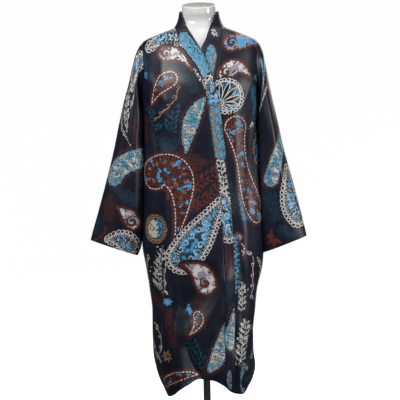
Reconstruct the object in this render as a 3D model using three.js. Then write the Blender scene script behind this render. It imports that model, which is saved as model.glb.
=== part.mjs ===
// A long satin kimono coat, worn by a limbless dress form on a pole stand.
// Millimetres, +Z up. The front looks towards -Y and the wearer's left is +X.
// The origin is the centre of the base's underside.
// The coat's pieces are thin walls laid on one body shape, which horizontal sections give.
import * as THREE from "three";

// Cloth
const WALL = 1.6; // satin, as thick as a turned edge
const BAND_WALL = 2; // the collar band is doubled
const SEAM = 0.3; // half the gap between pieces that are sewn together
const LAP = 5; // how far the right front lies outside the left front
const UNDERLAP = { ridge: 0.45, valley: 1.1 }; // the covered cloth's share of a fold
const NECK_GAP = 0.6; // more room at the neck, where the band turns up from the panels
const CAP_GAP = 0.8; // room between an armhole and the sleeve that turns down from it
const SLEEVE_CLEAR = 3.4; // room between the middle of the body's cloth and the middle of a sleeve's
const SQUARENESS = { body: 2.5, neck: 2.1 }; // 2 would make a section an ellipse
const FOLD_STRETCH = 0.6; // folds spread further down the cloth than across it
const ROWS = { shoulder: 6, armhole: 10, skirt: 23, neck: 9, sleeve: 16 };
const BAND_SPANS = 3;
const SLEEVE_SIDES = 20; // twice the armhole's rows, so that a sleeve meets its armhole point to point
const FORM_SIDES = 36;

// Heights
const BAND_BACK_TOP = 1480; // the standing collar band at the back of the neck
const NECK_SEAM = 1425; // where the collar band is sewn to the back
const SHOULDER_TIP = 1380; // top of the armholes
const UNDERARM = 1165; // bottom of the armholes
const ARMHOLE = { front: 54, back: 60 }; // how far an armhole reaches from the side line

// Stand
const FORM_BOTTOM = 790;
const FORM_TOP_SLOPE = Math.tan(THREE.MathUtils.degToRad(12)); // the neck is cut off sloping forward
const POLE = { radius: 11.3, sides: 28 };
const BASE = { radius: 160, thickness: 9, edge: 2.5, sides: 64 };
const HUB = { radius: 26, height: 34, neck: 5, lip: 8, sides: 36 };
const FLANGE = { radius: 38, thickness: 8, sides: 36 };
const FIT = 0.3; // clearance between the stand's parts

// Sections of the worn coat: half widths on the wearer's right and left, depth to the front and back.
const BODY = [
  { z: 1482, right: 60, left: 59, front: 54, back: 64 },
  { z: 1450, right: 66, left: 65, front: 52, back: 64 },
  { z: 1425, right: 78, left: 77, front: 56, back: 66 },
  { z: 1406, right: 124, left: 120, front: 68, back: 76 },
  { z: 1389, right: 164, left: 160, front: 79, back: 85 },
  { z: 1380, right: 178, left: 175, front: 84, back: 90 },
  { z: 1350, right: 185, left: 183, front: 96, back: 102 },
  { z: 1300, right: 187, left: 185, front: 110, back: 112 },
  { z: 1240, right: 188, left: 185, front: 128, back: 116 },
  { z: 1165, right: 189, left: 185, front: 131, back: 113 },
  { z: 1060, right: 190, left: 184, front: 125, back: 108 },
  { z: 950, right: 192, left: 185, front: 121, back: 118 },
  { z: 850, right: 194, left: 187, front: 123, back: 128 },
  { z: 750, right: 194, left: 188, front: 122, back: 128 },
  { z: 680, right: 184, left: 183, front: 118, back: 123 },
  { z: 600, right: 173, left: 164, front: 114, back: 116 },
  { z: 540, right: 167, left: 157, front: 112, back: 112 },
  { z: 470, right: 168, left: 149, front: 112, back: 110 },
  { z: 410, right: 167, left: 149, front: 112, back: 110 },
  { z: 358, right: 159, left: 154, front: 110, back: 108 },
  { z: 318, right: 147, left: 145, front: 104, back: 103 },
  { z: 290, right: 133, left: 130, front: 97, back: 97 },
  { z: 262, right: 123, left: 120, front: 91, back: 92 },
];

// Height of the hem all round, by degrees from the front's middle, the wearer's right first.
const HEM = [
  { angle: -180, z: 300 },
  { angle: -130, z: 290 },
  { angle: -92, z: 292 },
  { angle: -66, z: 270 },
  { angle: -50, z: 276 },
  { angle: -32, z: 296 },
  { angle: -18, z: 314 },
  { angle: -5, z: 331 },
  { angle: 5, z: 326 },
  { angle: 15, z: 311 },
  { angle: 28, z: 289 },
  { angle: 40, z: 279 },
  { angle: 62, z: 273 },
  { angle: 90, z: 292 },
  { angle: 130, z: 290 },
  { angle: 180, z: 300 },
];

// The front edges, by the height of the seam between front and band: that seam and the band's free edge.
const RIGHT_EDGE = [
  { z: 1425, seamX: -77.5, edgeX: -59, edgeZ: 1474 },
  { z: 1392, seamX: -65, edgeX: -43, edgeZ: 1431 },
  { z: 1355, seamX: -49, edgeX: -22, edgeZ: 1393 },
  { z: 1319, seamX: -24, edgeX: 2, edgeZ: 1351 },
  { z: 1290, seamX: -5, edgeX: 22, edgeZ: 1313 },
  { z: 1240, seamX: 11, edgeX: 41, edgeZ: 1250 },
  { z: 1190, seamX: 20, edgeX: 53, edgeZ: 1193 },
  { z: 1120, seamX: 28, edgeX: 62, edgeZ: 1120 },
  { z: 1040, seamX: 37, edgeX: 70, edgeZ: 1040 },
  { z: 950, seamX: 47, edgeX: 78, edgeZ: 950 },
  { z: 865, seamX: 54, edgeX: 84, edgeZ: 865 },
  { z: 690, seamX: 60, edgeX: 90, edgeZ: 690 },
  { z: 540, seamX: 59, edgeX: 89, edgeZ: 540 },
  { z: 262, seamX: 53, edgeX: 82, edgeZ: 262 },
];
const LEFT_EDGE = [
  { z: 1425, seamX: 76.5, edgeX: 58, edgeZ: 1472 },
  { z: 1376, seamX: 62, edgeX: 33, edgeZ: 1427 },
  { z: 1340, seamX: 54, edgeX: 19, edgeZ: 1386 },
  { z: 1288, seamX: 43, edgeX: 2, edgeZ: 1351 },
  { z: 1264, seamX: 38, edgeX: -4, edgeZ: 1318 },
  { z: 1220, seamX: 24, edgeX: -14, edgeZ: 1245 },
  { z: 1165, seamX: 4, edgeX: -29, edgeZ: 1170 },
  { z: 1060, seamX: -20, edgeX: -53, edgeZ: 1060 },
  { z: 950, seamX: -38, edgeX: -70, edgeZ: 950 },
  { z: 865, seamX: -48, edgeX: -79, edgeZ: 865 },
  { z: 690, seamX: -55, edgeX: -86, edgeZ: 690 },
  { z: 540, seamX: -53, edgeX: -84, edgeZ: 540 },
  { z: 262, seamX: -46, edgeX: -76, edgeZ: 262 },
];

// The largest folds: each runs from one point through a bend to another, and lifts or sinks the cloth.
const FRONT_FOLDS = [
  { x: 76, z: 720, bendX: 74, bendZ: 500, endX: -54, endZ: 428, width: 29, lift: 13 },
  { x: 40, z: 690, bendX: 14, bendZ: 580, endX: -84, endZ: 530, width: 30, lift: -8 },
  { x: 66, z: 520, bendX: 44, bendZ: 420, endX: -34, endZ: 366, width: 25, lift: -9 },
  { x: 88, z: 430, bendX: 70, bendZ: 345, endX: 22, endZ: 318, width: 24, lift: 8 },
  { x: -60, z: 470, bendX: -60, bendZ: 372, endX: -12, endZ: 333, width: 22, lift: -12 },
  { x: -84, z: 520, bendX: -88, bendZ: 400, endX: -76, endZ: 300, width: 22, lift: 8 },
  { x: -104, z: 1030, bendX: -112, bendZ: 720, endX: -124, endZ: 440, width: 18, lift: 7 },
  { x: -136, z: 900, bendX: -142, bendZ: 680, endX: -144, endZ: 450, width: 17, lift: -7 },
  { x: 128, z: 900, bendX: 120, bendZ: 640, endX: 112, endZ: 340, width: 19, lift: 7 },
  { x: 150, z: 1180, bendX: 152, bendZ: 1010, endX: 140, endZ: 820, width: 18, lift: -7 },
];
const BACK_FOLDS = [
  { x: 0, z: 1180, bendX: 4, bendZ: 760, endX: -6, endZ: 300, width: 27, lift: -10 },
  { x: -72, z: 1090, bendX: -80, bendZ: 700, endX: -66, endZ: 320, width: 25, lift: 9 },
  { x: 70, z: 1110, bendX: 84, bendZ: 720, endX: 64, endZ: 310, width: 25, lift: 9 },
  { x: -132, z: 1000, bendX: -124, bendZ: 700, endX: -112, endZ: 420, width: 21, lift: -8 },
  { x: 134, z: 980, bendX: 126, bendZ: 690, endX: 108, endZ: 410, width: 21, lift: -8 },
];

// Sleeve rings, from the armhole to the cuff: how far out on the wearer's right and left, how high, how
// deep in front and behind, and where along Y their middle hangs.
const SLEEVE = [
  { at: 0.04, outR: 189, outL: 187, outZ: 1368, inR: 193, inL: 189, inZ: 1167.6, front: 59, back: 65, y: 0 },
  { at: 0.1, outR: 201, outL: 197, outZ: 1343, inR: 193, inL: 189, inZ: 1160, front: 66, back: 71, y: -3 },
  { at: 0.17, outR: 212, outL: 204, outZ: 1306, inR: 192, inL: 188, inZ: 1151, front: 70, back: 74, y: -7 },
  { at: 0.25, outR: 224, outL: 212, outZ: 1255, inR: 189, inL: 184, inZ: 1138, front: 72, back: 74, y: -12 },
  { at: 0.34, outR: 240, outL: 222, outZ: 1200, inR: 184, inL: 179, inZ: 1114, front: 71, back: 71, y: -17 },
  { at: 0.45, outR: 258, outL: 238, outZ: 1125, inR: 178, inL: 174, inZ: 1070, front: 67, back: 66, y: -21 },
  { at: 0.57, outR: 277, outL: 255, outZ: 1040, inR: 174, inL: 171, inZ: 1000, front: 60, back: 59, y: -24 },
  { at: 0.7, outR: 304, outL: 281, outZ: 940, inR: 174, inL: 170, inZ: 905, front: 50, back: 49, y: -26 },
  { at: 0.83, outR: 330, outL: 303, outZ: 850, inR: 181, inL: 174, inZ: 812, front: 39, back: 38, y: -28 },
  { at: 0.94, outR: 349, outL: 317, outZ: 788, inR: 197, inL: 180, inZ: 743, front: 30, back: 29, y: -28 },
  { at: 1, outR: 355, outL: 322, outZ: 766, inR: 209, inL: 184, inZ: 715, front: 26, back: 25, y: -28 },
];
const SLEEVE_FOLDS = [
  { turn: 62, from: 0.3, to: 0.98, width: 16, lift: -6 },
  { turn: 118, from: 0.16, to: 0.8, width: 15, lift: 5 },
  { turn: 244, from: 0.3, to: 0.95, width: 18, lift: -6 },
  { turn: 300, from: 0.2, to: 0.85, width: 16, lift: 5 },
];

// Sections of the dress form below the neck, clear of the coat.
const FORM = [
  { z: 1350, half: 176, front: 88, back: 95, tilt: 0 },
  { z: 1300, half: 172, front: 103, back: 104, tilt: 0 },
  { z: 1240, half: 160, front: 119, back: 106, tilt: 0 },
  { z: 1165, half: 150, front: 116, back: 100, tilt: 0 },
  { z: 1060, half: 124, front: 98, back: 88, tilt: 0 },
  { z: 950, half: 150, front: 102, back: 104, tilt: 0 },
  { z: 860, half: 166, front: 108, back: 114, tilt: 0 },
  { z: 806, half: 163, front: 106, back: 112, tilt: 0 },
  { z: 790, half: 154, front: 99, back: 105, tilt: 0 },
];
const NECK = [
  { z: 1440, half: 57, front: 44, back: 54, tilt: 0 },
  { z: 1484, half: 54, front: 52, back: 60, tilt: 0.8 },
  { z: 1496, half: 53.5, front: 52, back: 59, tilt: 1 },
  { z: 1499.4, half: 51.5, front: 50, back: 57, tilt: 1 },
  { z: 1500, half: 47, front: 46, back: 53, tilt: 1 },
];
const SHOULDER_INSET = 4; // the form's shoulders lie this far inside the coat's

const clamp = THREE.MathUtils.clamp;
const lerp = THREE.MathUtils.lerp;
const smooth = (t) => THREE.MathUtils.smoothstep(t, 0, 1);

// A smooth curve through one column of a table, which never swings past the values it joins.
function column(table, key, by = "z") {
  const rows = [...table].sort((a, b) => a[by] - b[by]);
  const rise = rows.slice(1).map((r, i) => (r[key] - rows[i][key]) / (r[by] - rows[i][by]));
  const slopes = rows.map((_, i) => {
    const before = rise[Math.max(i - 1, 0)];
    const after = rise[Math.min(i, rise.length - 1)];
    return before * after > 0 ? (2 * before * after) / (before + after) : 0;
  });
  return (at) => {
    const p = clamp(at, rows[0][by], rows[rows.length - 1][by]);
    const i = Math.max(0, rows.findIndex((r) => p <= r[by]) - 1);
    const step = rows[i + 1][by] - rows[i][by];
    const t = (p - rows[i][by]) / step;
    const joined = lerp(rows[i][key], rows[i + 1][key], t * t * (3 - 2 * t));
    return joined + step * t * (1 - t) * (slopes[i] * (1 - t) - slopes[i + 1] * t);
  };
}
const columns = (table, keys, by) => Object.fromEntries(keys.map((k) => [k, column(table, k, by)]));

const body = columns(BODY, ["right", "left", "front", "back"]);
const rightEdge = columns(RIGHT_EDGE, ["seamX", "edgeX", "edgeZ"]);
const leftEdge = columns(LEFT_EDGE, ["seamX", "edgeX", "edgeZ"]);
const hemZ = column(HEM, "z", "angle");

// The power of a section's outline: 2 is an ellipse, and more is squarer.
const power = (z) => lerp(SQUARENESS.body, SQUARENESS.neck, smooth((z - 1390) / 60));

// A section's outline at an angle from the front's middle, positive towards +X.
function outline(angle, width, depth, n) {
  const s = Math.sin(angle);
  const c = Math.cos(angle);
  return [Math.sign(s) * width * Math.abs(s) ** (2 / n), -Math.sign(c) * depth * Math.abs(c) ** (2 / n)];
}
const widthAt = (angle, z) => (Math.sin(angle) < 0 ? body.right(z) : body.left(z));
const depthAt = (angle, z) => (Math.cos(angle) > 0 ? body.front(z) : body.back(z));

// The angle at which the front's surface passes a given x.
function angleAt(x, z) {
  const share = clamp(Math.abs(x) / (x < 0 ? body.right(z) : body.left(z)), 0, 1);
  return Math.sign(x) * Math.asin(share ** (power(z) / 2));
}

// How far a fold moves the cloth at a point of the front or back, seen square on.
function foldLift(fold, x, z) {
  const steps = 20;
  let nearest = Infinity;
  let along = 0;
  for (let i = 0; i <= steps; i++) {
    const t = i / steps;
    const px = (1 - t) ** 2 * fold.x + 2 * t * (1 - t) * fold.bendX + t * t * fold.endX;
    const pz = (1 - t) ** 2 * fold.z + 2 * t * (1 - t) * fold.bendZ + t * t * fold.endZ;
    const gap = Math.hypot(x - px, (z - pz) * FOLD_STRETCH);
    if (gap < nearest) [nearest, along] = [gap, t];
  }
  const fade = smooth(0.15 + along * 4) * smooth(0.35 + (1 - along) * 5);
  return fold.lift * fade * Math.exp(-((nearest / fold.width) ** 2));
}

// The share of a fold that the left front takes where the right front covers it.
function underlap(fold, x, z) {
  const covered = smooth((rightEdge.edgeX(z) + 22 - x) / 20);
  return lerp(1, fold.lift > 0 ? UNDERLAP.ridge : UNDERLAP.valley, covered);
}

// The cloth's middle at an angle and height, with its folds. Each layer is "upper", "under" or "single".
function clothPoint(angle, z, layer) {
  const n = power(z);
  const width = widthAt(angle, z);
  const depth = depthAt(angle, z);
  const [x, y] = outline(angle, width, depth, n);
  const normal = new THREE.Vector2(
    (Math.sign(x) * (Math.abs(x) / width) ** (n - 1)) / width,
    (Math.sign(y) * (Math.abs(y) / depth) ** (n - 1)) / depth,
  ).normalize();
  const isFront = Math.cos(angle) > 0;
  const facing = smooth(Math.abs(Math.cos(angle)) / 0.35);
  const lift = (isFront ? FRONT_FOLDS : BACK_FOLDS).reduce((sum, fold) => {
    const share = layer === "under" ? underlap(fold, x, z) : 1;
    return sum + facing * share * foldLift(fold, x, z);
  }, layer === "upper" ? over(x, z) : 0);
  return new THREE.Vector3(x + normal.x * lift, y + normal.y * lift, z);
}

// How far the right front and its band stand out, to lie over the left ones.
const over = (x, z) => LAP * smooth((x + 150) / 55) * smooth((1400 - z) / 45);

// The rows of every body panel: heights down to the armhole's foot, then shares of the way to the hem.
const ARMHOLE_MIDDLE = (SHOULDER_TIP + UNDERARM) / 2;
const ARMHOLE_HALF = (SHOULDER_TIP - UNDERARM) / 2;
const count = (n, make) => Array.from({ length: n }, (_, i) => make(i));
const levels = [
  ...count(ROWS.shoulder, (i) => {
    return { z: lerp(NECK_SEAM - SEAM, SHOULDER_TIP, (i / ROWS.shoulder) ** 1.6) };
  }),
  ...count(ROWS.armhole, (i) => {
    return { z: ARMHOLE_MIDDLE + ARMHOLE_HALF * Math.cos((Math.PI * i) / ROWS.armhole) };
  }),
  ...count(ROWS.skirt + 1, (i) => ({ z: UNDERARM, share: i / ROWS.skirt })),
];
function rowHeight(level, angle) {
  if (level.share === undefined) return level.z;
  const turn = THREE.MathUtils.radToDeg(angle);
  return lerp(UNDERARM, hemZ(turn > 180 ? turn - 360 : turn), level.share);
}

// The angle at which a row meets a line that is given by height.
function meet(level, angleOf) {
  let angle = angleOf(level.z);
  for (let i = 0; i < 5; i++) angle = angleOf(rowHeight(level, angle));
  return angle;
}

// The angle from the middle of the front or back to a panel's outer edge: shoulder seam, armhole, side seam.
function sideAngle(z, reach, depth) {
  const share = clamp((z - ARMHOLE_MIDDLE) / ARMHOLE_HALF, -1, 1);
  const fromSide = reach * Math.sqrt(1 - share * share) + SEAM;
  return Math.acos((fromSide / depth(z)) ** (power(z) / 2));
}
const frontSide = (level) => meet(level, (z) => sideAngle(z, ARMHOLE.front, body.front));
const backSide = (level) => meet(level, (z) => sideAngle(z, ARMHOLE.back, body.back));

// A closed wall of cloth round a grid of points on its middle. A tube joins its last column to its first.
function wall(grid, thickness, tube = false) {
  const rows = grid.length;
  const cols = grid[0].length;
  const at = (i, j) => grid[clamp(i, 0, rows - 1)][tube ? (j + cols) % cols : clamp(j, 0, cols - 1)];
  const positions = [];
  for (const side of [0.5, -0.5]) {
    for (let i = 0; i < rows; i++) {
      for (let j = 0; j < cols; j++) {
        const across = at(i, j + 1).clone().sub(at(i, j - 1));
        const normal = at(i + 1, j).clone().sub(at(i - 1, j)).cross(across).normalize();
        positions.push(...at(i, j).clone().addScaledVector(normal, side * thickness));
      }
    }
  }
  const outer = (i, j) => i * cols + (j % cols);
  const inner = (i, j) => rows * cols + outer(i, j);
  const faces = [];
  const quad = (a, b, c, d) => faces.push(a, b, c, a, c, d);
  const spans = tube ? cols : cols - 1;
  for (let i = 0; i < rows - 1; i++) {
    for (let j = 0; j < spans; j++) {
      quad(outer(i, j), outer(i + 1, j), outer(i + 1, j + 1), outer(i, j + 1));
      quad(inner(i, j), inner(i, j + 1), inner(i + 1, j + 1), inner(i + 1, j));
    }
  }
  for (let j = 0; j < spans; j++) {
    quad(outer(0, j), outer(0, j + 1), inner(0, j + 1), inner(0, j));
    quad(outer(rows - 1, j + 1), outer(rows - 1, j), inner(rows - 1, j), inner(rows - 1, j + 1));
  }
  for (let i = 0; i < rows - 1 && !tube; i++) {
    quad(outer(i + 1, 0), outer(i, 0), inner(i, 0), inner(i + 1, 0));
    quad(outer(i, cols - 1), outer(i + 1, cols - 1), inner(i + 1, cols - 1), inner(i, cols - 1));
  }
  return meshOf(positions, faces);
}
function meshOf(positions, faces) {
  const geometry = new THREE.BufferGeometry();
  geometry.setAttribute("position", new THREE.Float32BufferAttribute(positions, 3));
  return geometry.setIndex(faces);
}

// A body panel: for each row, points at even angles between its two side edges.
function panel(spans, from, to, layer) {
  const grid = levels.map((level) =>
    count(spans + 1, (j) => {
      const angle = lerp(from(level), to(level), j / spans);
      return clothPoint(angle, rowHeight(level, angle), layer);
    }),
  );
  return wall(grid, WALL);
}
function rightFront() {
  const seam = (level) => meet(level, (z) => angleAt(rightEdge.seamX(z) - SEAM, z));
  return panel(18, (level) => -frontSide(level), seam, "upper");
}
function leftFront() {
  const seam = (level) => meet(level, (z) => angleAt(leftEdge.seamX(z) + SEAM, z));
  return panel(14, seam, frontSide, "under");
}
function back() {
  return panel(18, (level) => Math.PI - backSide(level), (level) => Math.PI + backSide(level), "single");
}

// A half of the collar band, from the middle of the back round the neck and down a front edge.
function band(edge, side, layer) {
  const gap = (z) => SEAM + NECK_GAP * smooth((z - 1290) / 70);
  const seamAt = (z) => angleAt(edge.seamX(z) - side * gap(z), z);
  const edgeAt = (z) => angleAt(edge.edgeX(z), z);
  const down = levels.map((level) => {
    const seam = meet(level, seamAt);
    const seamZ = rowHeight(level, seam) + gap(level.z) - SEAM;
    if (level.share !== undefined) {
      const free = meet(level, edgeAt);
      return { seam, seamZ, free, freeZ: rowHeight(level, free) };
    }
    const freeZ = edge.edgeZ(level.z);
    return { seam, seamZ, free: angleAt(edge.edgeX(level.z), freeZ), freeZ };
  });
  const first = down[0];
  const middle = side * (Math.PI - SEAM / body.back(BAND_BACK_TOP));
  const round = count(ROWS.neck, (i) => {
    const share = i / ROWS.neck;
    return {
      seam: lerp(middle, first.seam, share),
      seamZ: lerp(NECK_SEAM + NECK_GAP, first.seamZ, share),
      free: lerp(middle, first.free, share),
      freeZ: lerp(BAND_BACK_TOP, first.freeZ, smooth(share)),
    };
  });
  const grid = [...round, ...down].map((station) =>
    count(BAND_SPANS + 1, (j) => {
      const share = side < 0 ? j / BAND_SPANS : 1 - j / BAND_SPANS;
      const angle = lerp(station.seam, station.free, share);
      const z = lerp(station.seamZ, station.freeZ, share);
      return clothPoint(angle, z, Math.cos(angle) > 0 ? layer : "single");
    }),
  );
  return wall(grid, BAND_WALL);
}

// A sleeve, from its armhole to its cuff. Each ring is a slice between its outer and inner points,
// and lies against the body where it would otherwise run into it.
function sleeve(side) {
  const ring = columns(SLEEVE, ["outR", "outL", "outZ", "inR", "inL", "inZ", "front", "back", "y"], "at");
  const turnOf = (j) => (2 * Math.PI * j) / SLEEVE_SIDES;
  const armhole = count(SLEEVE_SIDES, (j) => {
    const sideways = side * Math.sin(turnOf(j));
    const reach = (sideways < 0 ? ARMHOLE.front : ARMHOLE.back) - CAP_GAP;
    const z = ARMHOLE_MIDDLE + (ARMHOLE_HALF - CAP_GAP) * Math.cos(turnOf(j));
    const y = sideways * reach;
    return new THREE.Vector3(side * bodyReach(side, y, z), y, z);
  });
  const rings = count(ROWS.sleeve + 1, (i) => {
    const at = lerp(SLEEVE[0].at, 1, (i / ROWS.sleeve) ** 1.15);
    const out = new THREE.Vector3(side * (side < 0 ? ring.outR(at) : ring.outL(at)), 0, ring.outZ(at));
    const inner = new THREE.Vector3(side * (side < 0 ? ring.inR(at) : ring.inL(at)), 0, ring.inZ(at));
    return count(SLEEVE_SIDES, (j) => {
      const turn = turnOf(j);
      const lift = SLEEVE_FOLDS.reduce((sum, fold) => sum + sleeveLift(fold, turn, at), 0);
      const sideways = side * Math.sin(turn);
      const point = out.clone().lerp(inner, 0.5 - 0.5 * Math.cos(turn));
      const reach = (sideways < 0 ? ring.front(at) : ring.back(at)) + lift;
      point.setY(sideways * reach + ring.y(at));
      const nearest = bodyReach(side, point.y, point.z) + SLEEVE_CLEAR;
      return point.setX(side * Math.max(side * point.x, nearest));
    });
  });
  return wall([armhole, ...rings], WALL, true);
}
// How far the body reaches to one side, at a distance from its middle and a height.
function bodyReach(side, y, z) {
  const depth = y < 0 ? body.front(z) : body.back(z);
  const width = side < 0 ? body.right(z) : body.left(z);
  return width * (1 - Math.min(Math.abs(y) / depth, 1) ** power(z)) ** (1 / power(z));
}
function sleeveLift(fold, turn, at) {
  const away = THREE.MathUtils.radToDeg(turn) - fold.turn;
  const fade = smooth((at - fold.from) / 0.2) * smooth((fold.to - at) / 0.2 + 0.2);
  return fold.lift * fade * Math.exp(-((away / fold.width) ** 2));
}

// The dress form: rings from its flat underside to the neck's tilted top, closed at both ends.
function form() {
  const shoulders = levels.slice(0, ROWS.shoulder + 1).map(({ z }) => ({
    z,
    half: body.left(z) - SHOULDER_INSET,
    front: body.front(z) - 1.5 * SHOULDER_INSET,
    back: body.back(z) - SHOULDER_INSET,
    tilt: 0,
  }));
  const rings = [...FORM, ...shoulders, ...NECK].sort((a, b) => a.z - b.z);
  const positions = rings.flatMap((r) =>
    count(FORM_SIDES, (j) => {
      const angle = (2 * Math.PI * j) / FORM_SIDES;
      const [x, y] = outline(angle, r.half, Math.cos(angle) > 0 ? r.front : r.back, power(r.z));
      return [x, y, r.z + r.tilt * y * FORM_TOP_SLOPE];
    }).flat(),
  );
  const last = rings.length - 1;
  positions.push(0, 0, rings[0].z, 0, 0, rings[last].z);
  const at = (i, j) => i * FORM_SIDES + (j % FORM_SIDES);
  const [bottom, top] = [rings.length * FORM_SIDES, rings.length * FORM_SIDES + 1];
  const faces = [];
  for (let j = 0; j < FORM_SIDES; j++) {
    for (let i = 0; i < last; i++) {
      faces.push(at(i, j), at(i, j + 1), at(i + 1, j + 1), at(i, j), at(i + 1, j + 1), at(i + 1, j));
    }
    faces.push(bottom, at(0, j + 1), at(0, j), top, at(last, j), at(last, j + 1));
  }
  return meshOf(positions, faces);
}

// A turned part, from its profile of radii and heights, starting and ending on the axis.
function turned(profile, sides) {
  const points = profile.map(([radius, z]) => new THREE.Vector2(radius, z));
  return new THREE.LatheGeometry(points, sides).rotateX(Math.PI / 2);
}
function pole() {
  const foot = BASE.thickness + FIT;
  const head = FORM_BOTTOM - FIT - FLANGE.thickness - FIT;
  return turned([[0, foot], [POLE.radius, foot], [POLE.radius, head], [0, head]], POLE.sides);
}
function flange() {
  const top = FORM_BOTTOM - FIT;
  const foot = top - FLANGE.thickness;
  const { radius, sides } = FLANGE;
  return turned([[0, foot], [radius - 2, foot], [radius, foot + 2], [radius, top], [0, top]], sides);
}
function base() {
  const { radius, thickness, edge, sides } = BASE;
  const foot = [[0, 0], [radius - 1, 0], [radius, 1]];
  const top = [[radius, thickness - edge], [radius - edge, thickness], [0, thickness]];
  return turned([...foot, ...top], sides);
}
function hub() {
  const hole = POLE.radius + FIT;
  const foot = BASE.thickness + FIT;
  const head = foot + HUB.height;
  const { radius, neck, lip, sides } = HUB;
  const outside = [[hole, foot], [radius, foot], [radius, foot + lip], [hole + neck, head]];
  return turned([...outside, [hole, head], [hole, foot]], sides);
}

const satin = new THREE.MeshStandardMaterial({ color: 0x1d2233, roughness: 0.42, metalness: 0 });
const gloss = new THREE.MeshStandardMaterial({ color: 0xe9e7e6, roughness: 0.22, metalness: 0 });
const steel = new THREE.MeshStandardMaterial({ color: 0xb9bcc0, roughness: 0.28, metalness: 1 });
const PIECES = [
  ["coat_right_front", rightFront(), satin],
  ["coat_left_front", leftFront(), satin],
  ["coat_back", back(), satin],
  ["coat_right_sleeve", sleeve(-1), satin],
  ["coat_left_sleeve", sleeve(1), satin],
  ["coat_right_band", band(rightEdge, -1, "upper"), satin],
  ["coat_left_band", band(leftEdge, 1, "under"), satin],
  ["form_torso", form(), gloss],
  ["form_flange", flange(), steel],
  ["form_pole", pole(), steel],
  ["form_hub", hub(), steel],
  ["form_base", base(), steel],
];
const kimono = new THREE.Group();
for (const [name, geometry, material] of PIECES) {
  const piece = new THREE.Mesh(geometry, material);
  piece.name = name;
  kimono.add(piece);
}
export default kimono;
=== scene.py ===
# A long satin kimono coat, printed with paisleys, on a white limbless dress form.
# The tables are in millimetres and meshes are in metres. The front looks towards -Y.
# The wearer's left is +X. The cloth is laid on the same body sections as the model's solids.
import math

import bpy
import numpy as np
from mathutils import Matrix, Vector


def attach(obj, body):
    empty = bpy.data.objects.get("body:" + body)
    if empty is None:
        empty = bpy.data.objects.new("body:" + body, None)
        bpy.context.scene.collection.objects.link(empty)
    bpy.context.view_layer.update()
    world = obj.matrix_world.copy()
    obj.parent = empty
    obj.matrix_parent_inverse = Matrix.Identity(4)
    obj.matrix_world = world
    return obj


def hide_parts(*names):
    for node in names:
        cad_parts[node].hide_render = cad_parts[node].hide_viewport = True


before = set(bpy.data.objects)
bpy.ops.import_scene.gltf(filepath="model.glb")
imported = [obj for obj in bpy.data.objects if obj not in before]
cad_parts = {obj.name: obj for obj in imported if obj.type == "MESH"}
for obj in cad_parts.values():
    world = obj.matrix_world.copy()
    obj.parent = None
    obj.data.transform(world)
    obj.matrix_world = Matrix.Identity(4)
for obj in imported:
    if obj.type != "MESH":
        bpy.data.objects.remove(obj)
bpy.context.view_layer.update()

MM = 0.001


def table(names, rows):
    """Rows of numbers as dictionaries, by the names of their columns."""
    return [dict(zip(names.split(), row)) for row in rows]


# Camera, as the photograph has it
VIEW_CENTRE = (-9.8, 0, 882.6)
VIEW_WIDTH = 1260
SENSOR_WIDTH = 36
CAMERA_DISTANCE = 5000
CAMERA_HEIGHT = 1150
CAMERA_ROLL = math.radians(-1.2)

# Cloth
WALL = 1.2
BAND_WALL = 1.9
SEAM = 0.12  # half of the gap between two sewn pieces
LAP = 5  # how far the right front lies above the left one
LAP_START = (-150, 55)  # where that lift begins across the front, and over how far it grows
LAP_TOP = (1400, 45)
SLEEVE_CLEAR = 3  # between the middles of the body's and the sleeves' cloth
SLEEVE_SOFT = 0.8  # how softly a sleeve comes to lie against the body
STITCH_IN = 9  # from a piece's edge to its line of stitches
EDGE_REACH = 30  # the greatest distance to a cut edge that is kept
NO_MOTIF = 60  # the distance to a motif's outline where there is none
UNDERLAP = {"ridge": 0.45, "valley": 1.1}
UNDERLAP_PAST = (22, 20)  # how far past the right front's edge folds grow back to full depth
SQUARENESS = {"body": 2.5, "neck": 2.1}
NECK_TURN = (1390, 60)  # where the sections turn from the body's form to the neck's
FOLD_STRETCH = 0.6
FOLD_STEPS = 12
FOLD_START = (0.15, 4)  # a fold's depth at its start, and how fast it grows
FOLD_END = (0.35, 5)
FOLD_SIDE = 0.35  # folds fade out towards the sides, from where the cloth faces this much forward
RIPPLE = 0.45

# Heights
BAND_BACK_TOP = 1480
NECK_SEAM = 1425
SHOULDER_TIP = 1380
UNDERARM = 1165
ARMHOLE = {"front": 54, "back": 60}
ARMHOLE_MIDDLE = (SHOULDER_TIP + UNDERARM) / 2
ARMHOLE_HALF = (SHOULDER_TIP - UNDERARM) / 2

# Rows and columns of points
SHOULDER_ROWS = 30
SHOULDER_CROWD = 1.6  # rows crowd towards the neck
ARMHOLE_ROWS = 66
SKIRT_ROWS = 258
PANEL_COLUMNS = {"right_front": 96, "left_front": 88, "back": 124}
BAND_COLUMNS = 16
BAND_ROUND_ROWS = 62
SLEEVE_SIDES = 108
SLEEVE_RINGS = 196
SLEEVE_CROWD = 1.15
CAP_RINGS = 4

# Dress form and stand
FORM_BOTTOM = 790
FORM_TOP = 1500
FORM_TOP_ROUND = 4
FORM_TOP_SLOPE = math.tan(math.radians(12))
FORM_SIDES = 112
FORM_STEP = 6
NECK_DROP = 6  # the neck's top as the photo shows it, a little lower than the solid's
NECK_DROP_OVER = (1440, 50)
SHOULDER_INSET = 4
FIT = 0.3
FLANGE = {"radius": 38, "height": 8, "edge": 2}
POLE_RADIUS = 11.3
BASE = {"radius": 160, "height": 9, "edge": 2.5, "bevel": 0.8, "sides": 160}
HUB = {"hole": 11.6, "radius": 26, "height": 34, "lip": 8, "neck": 5, "waist": (20, 34)}

# Studio, in metres
STUDIO = {"radius": 9, "height": 9, "bend": 1.5, "inner": 0.5, "sides": 96}
STUDIO_GLOW = 0.93
AIR_GLOW = 0.065

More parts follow.
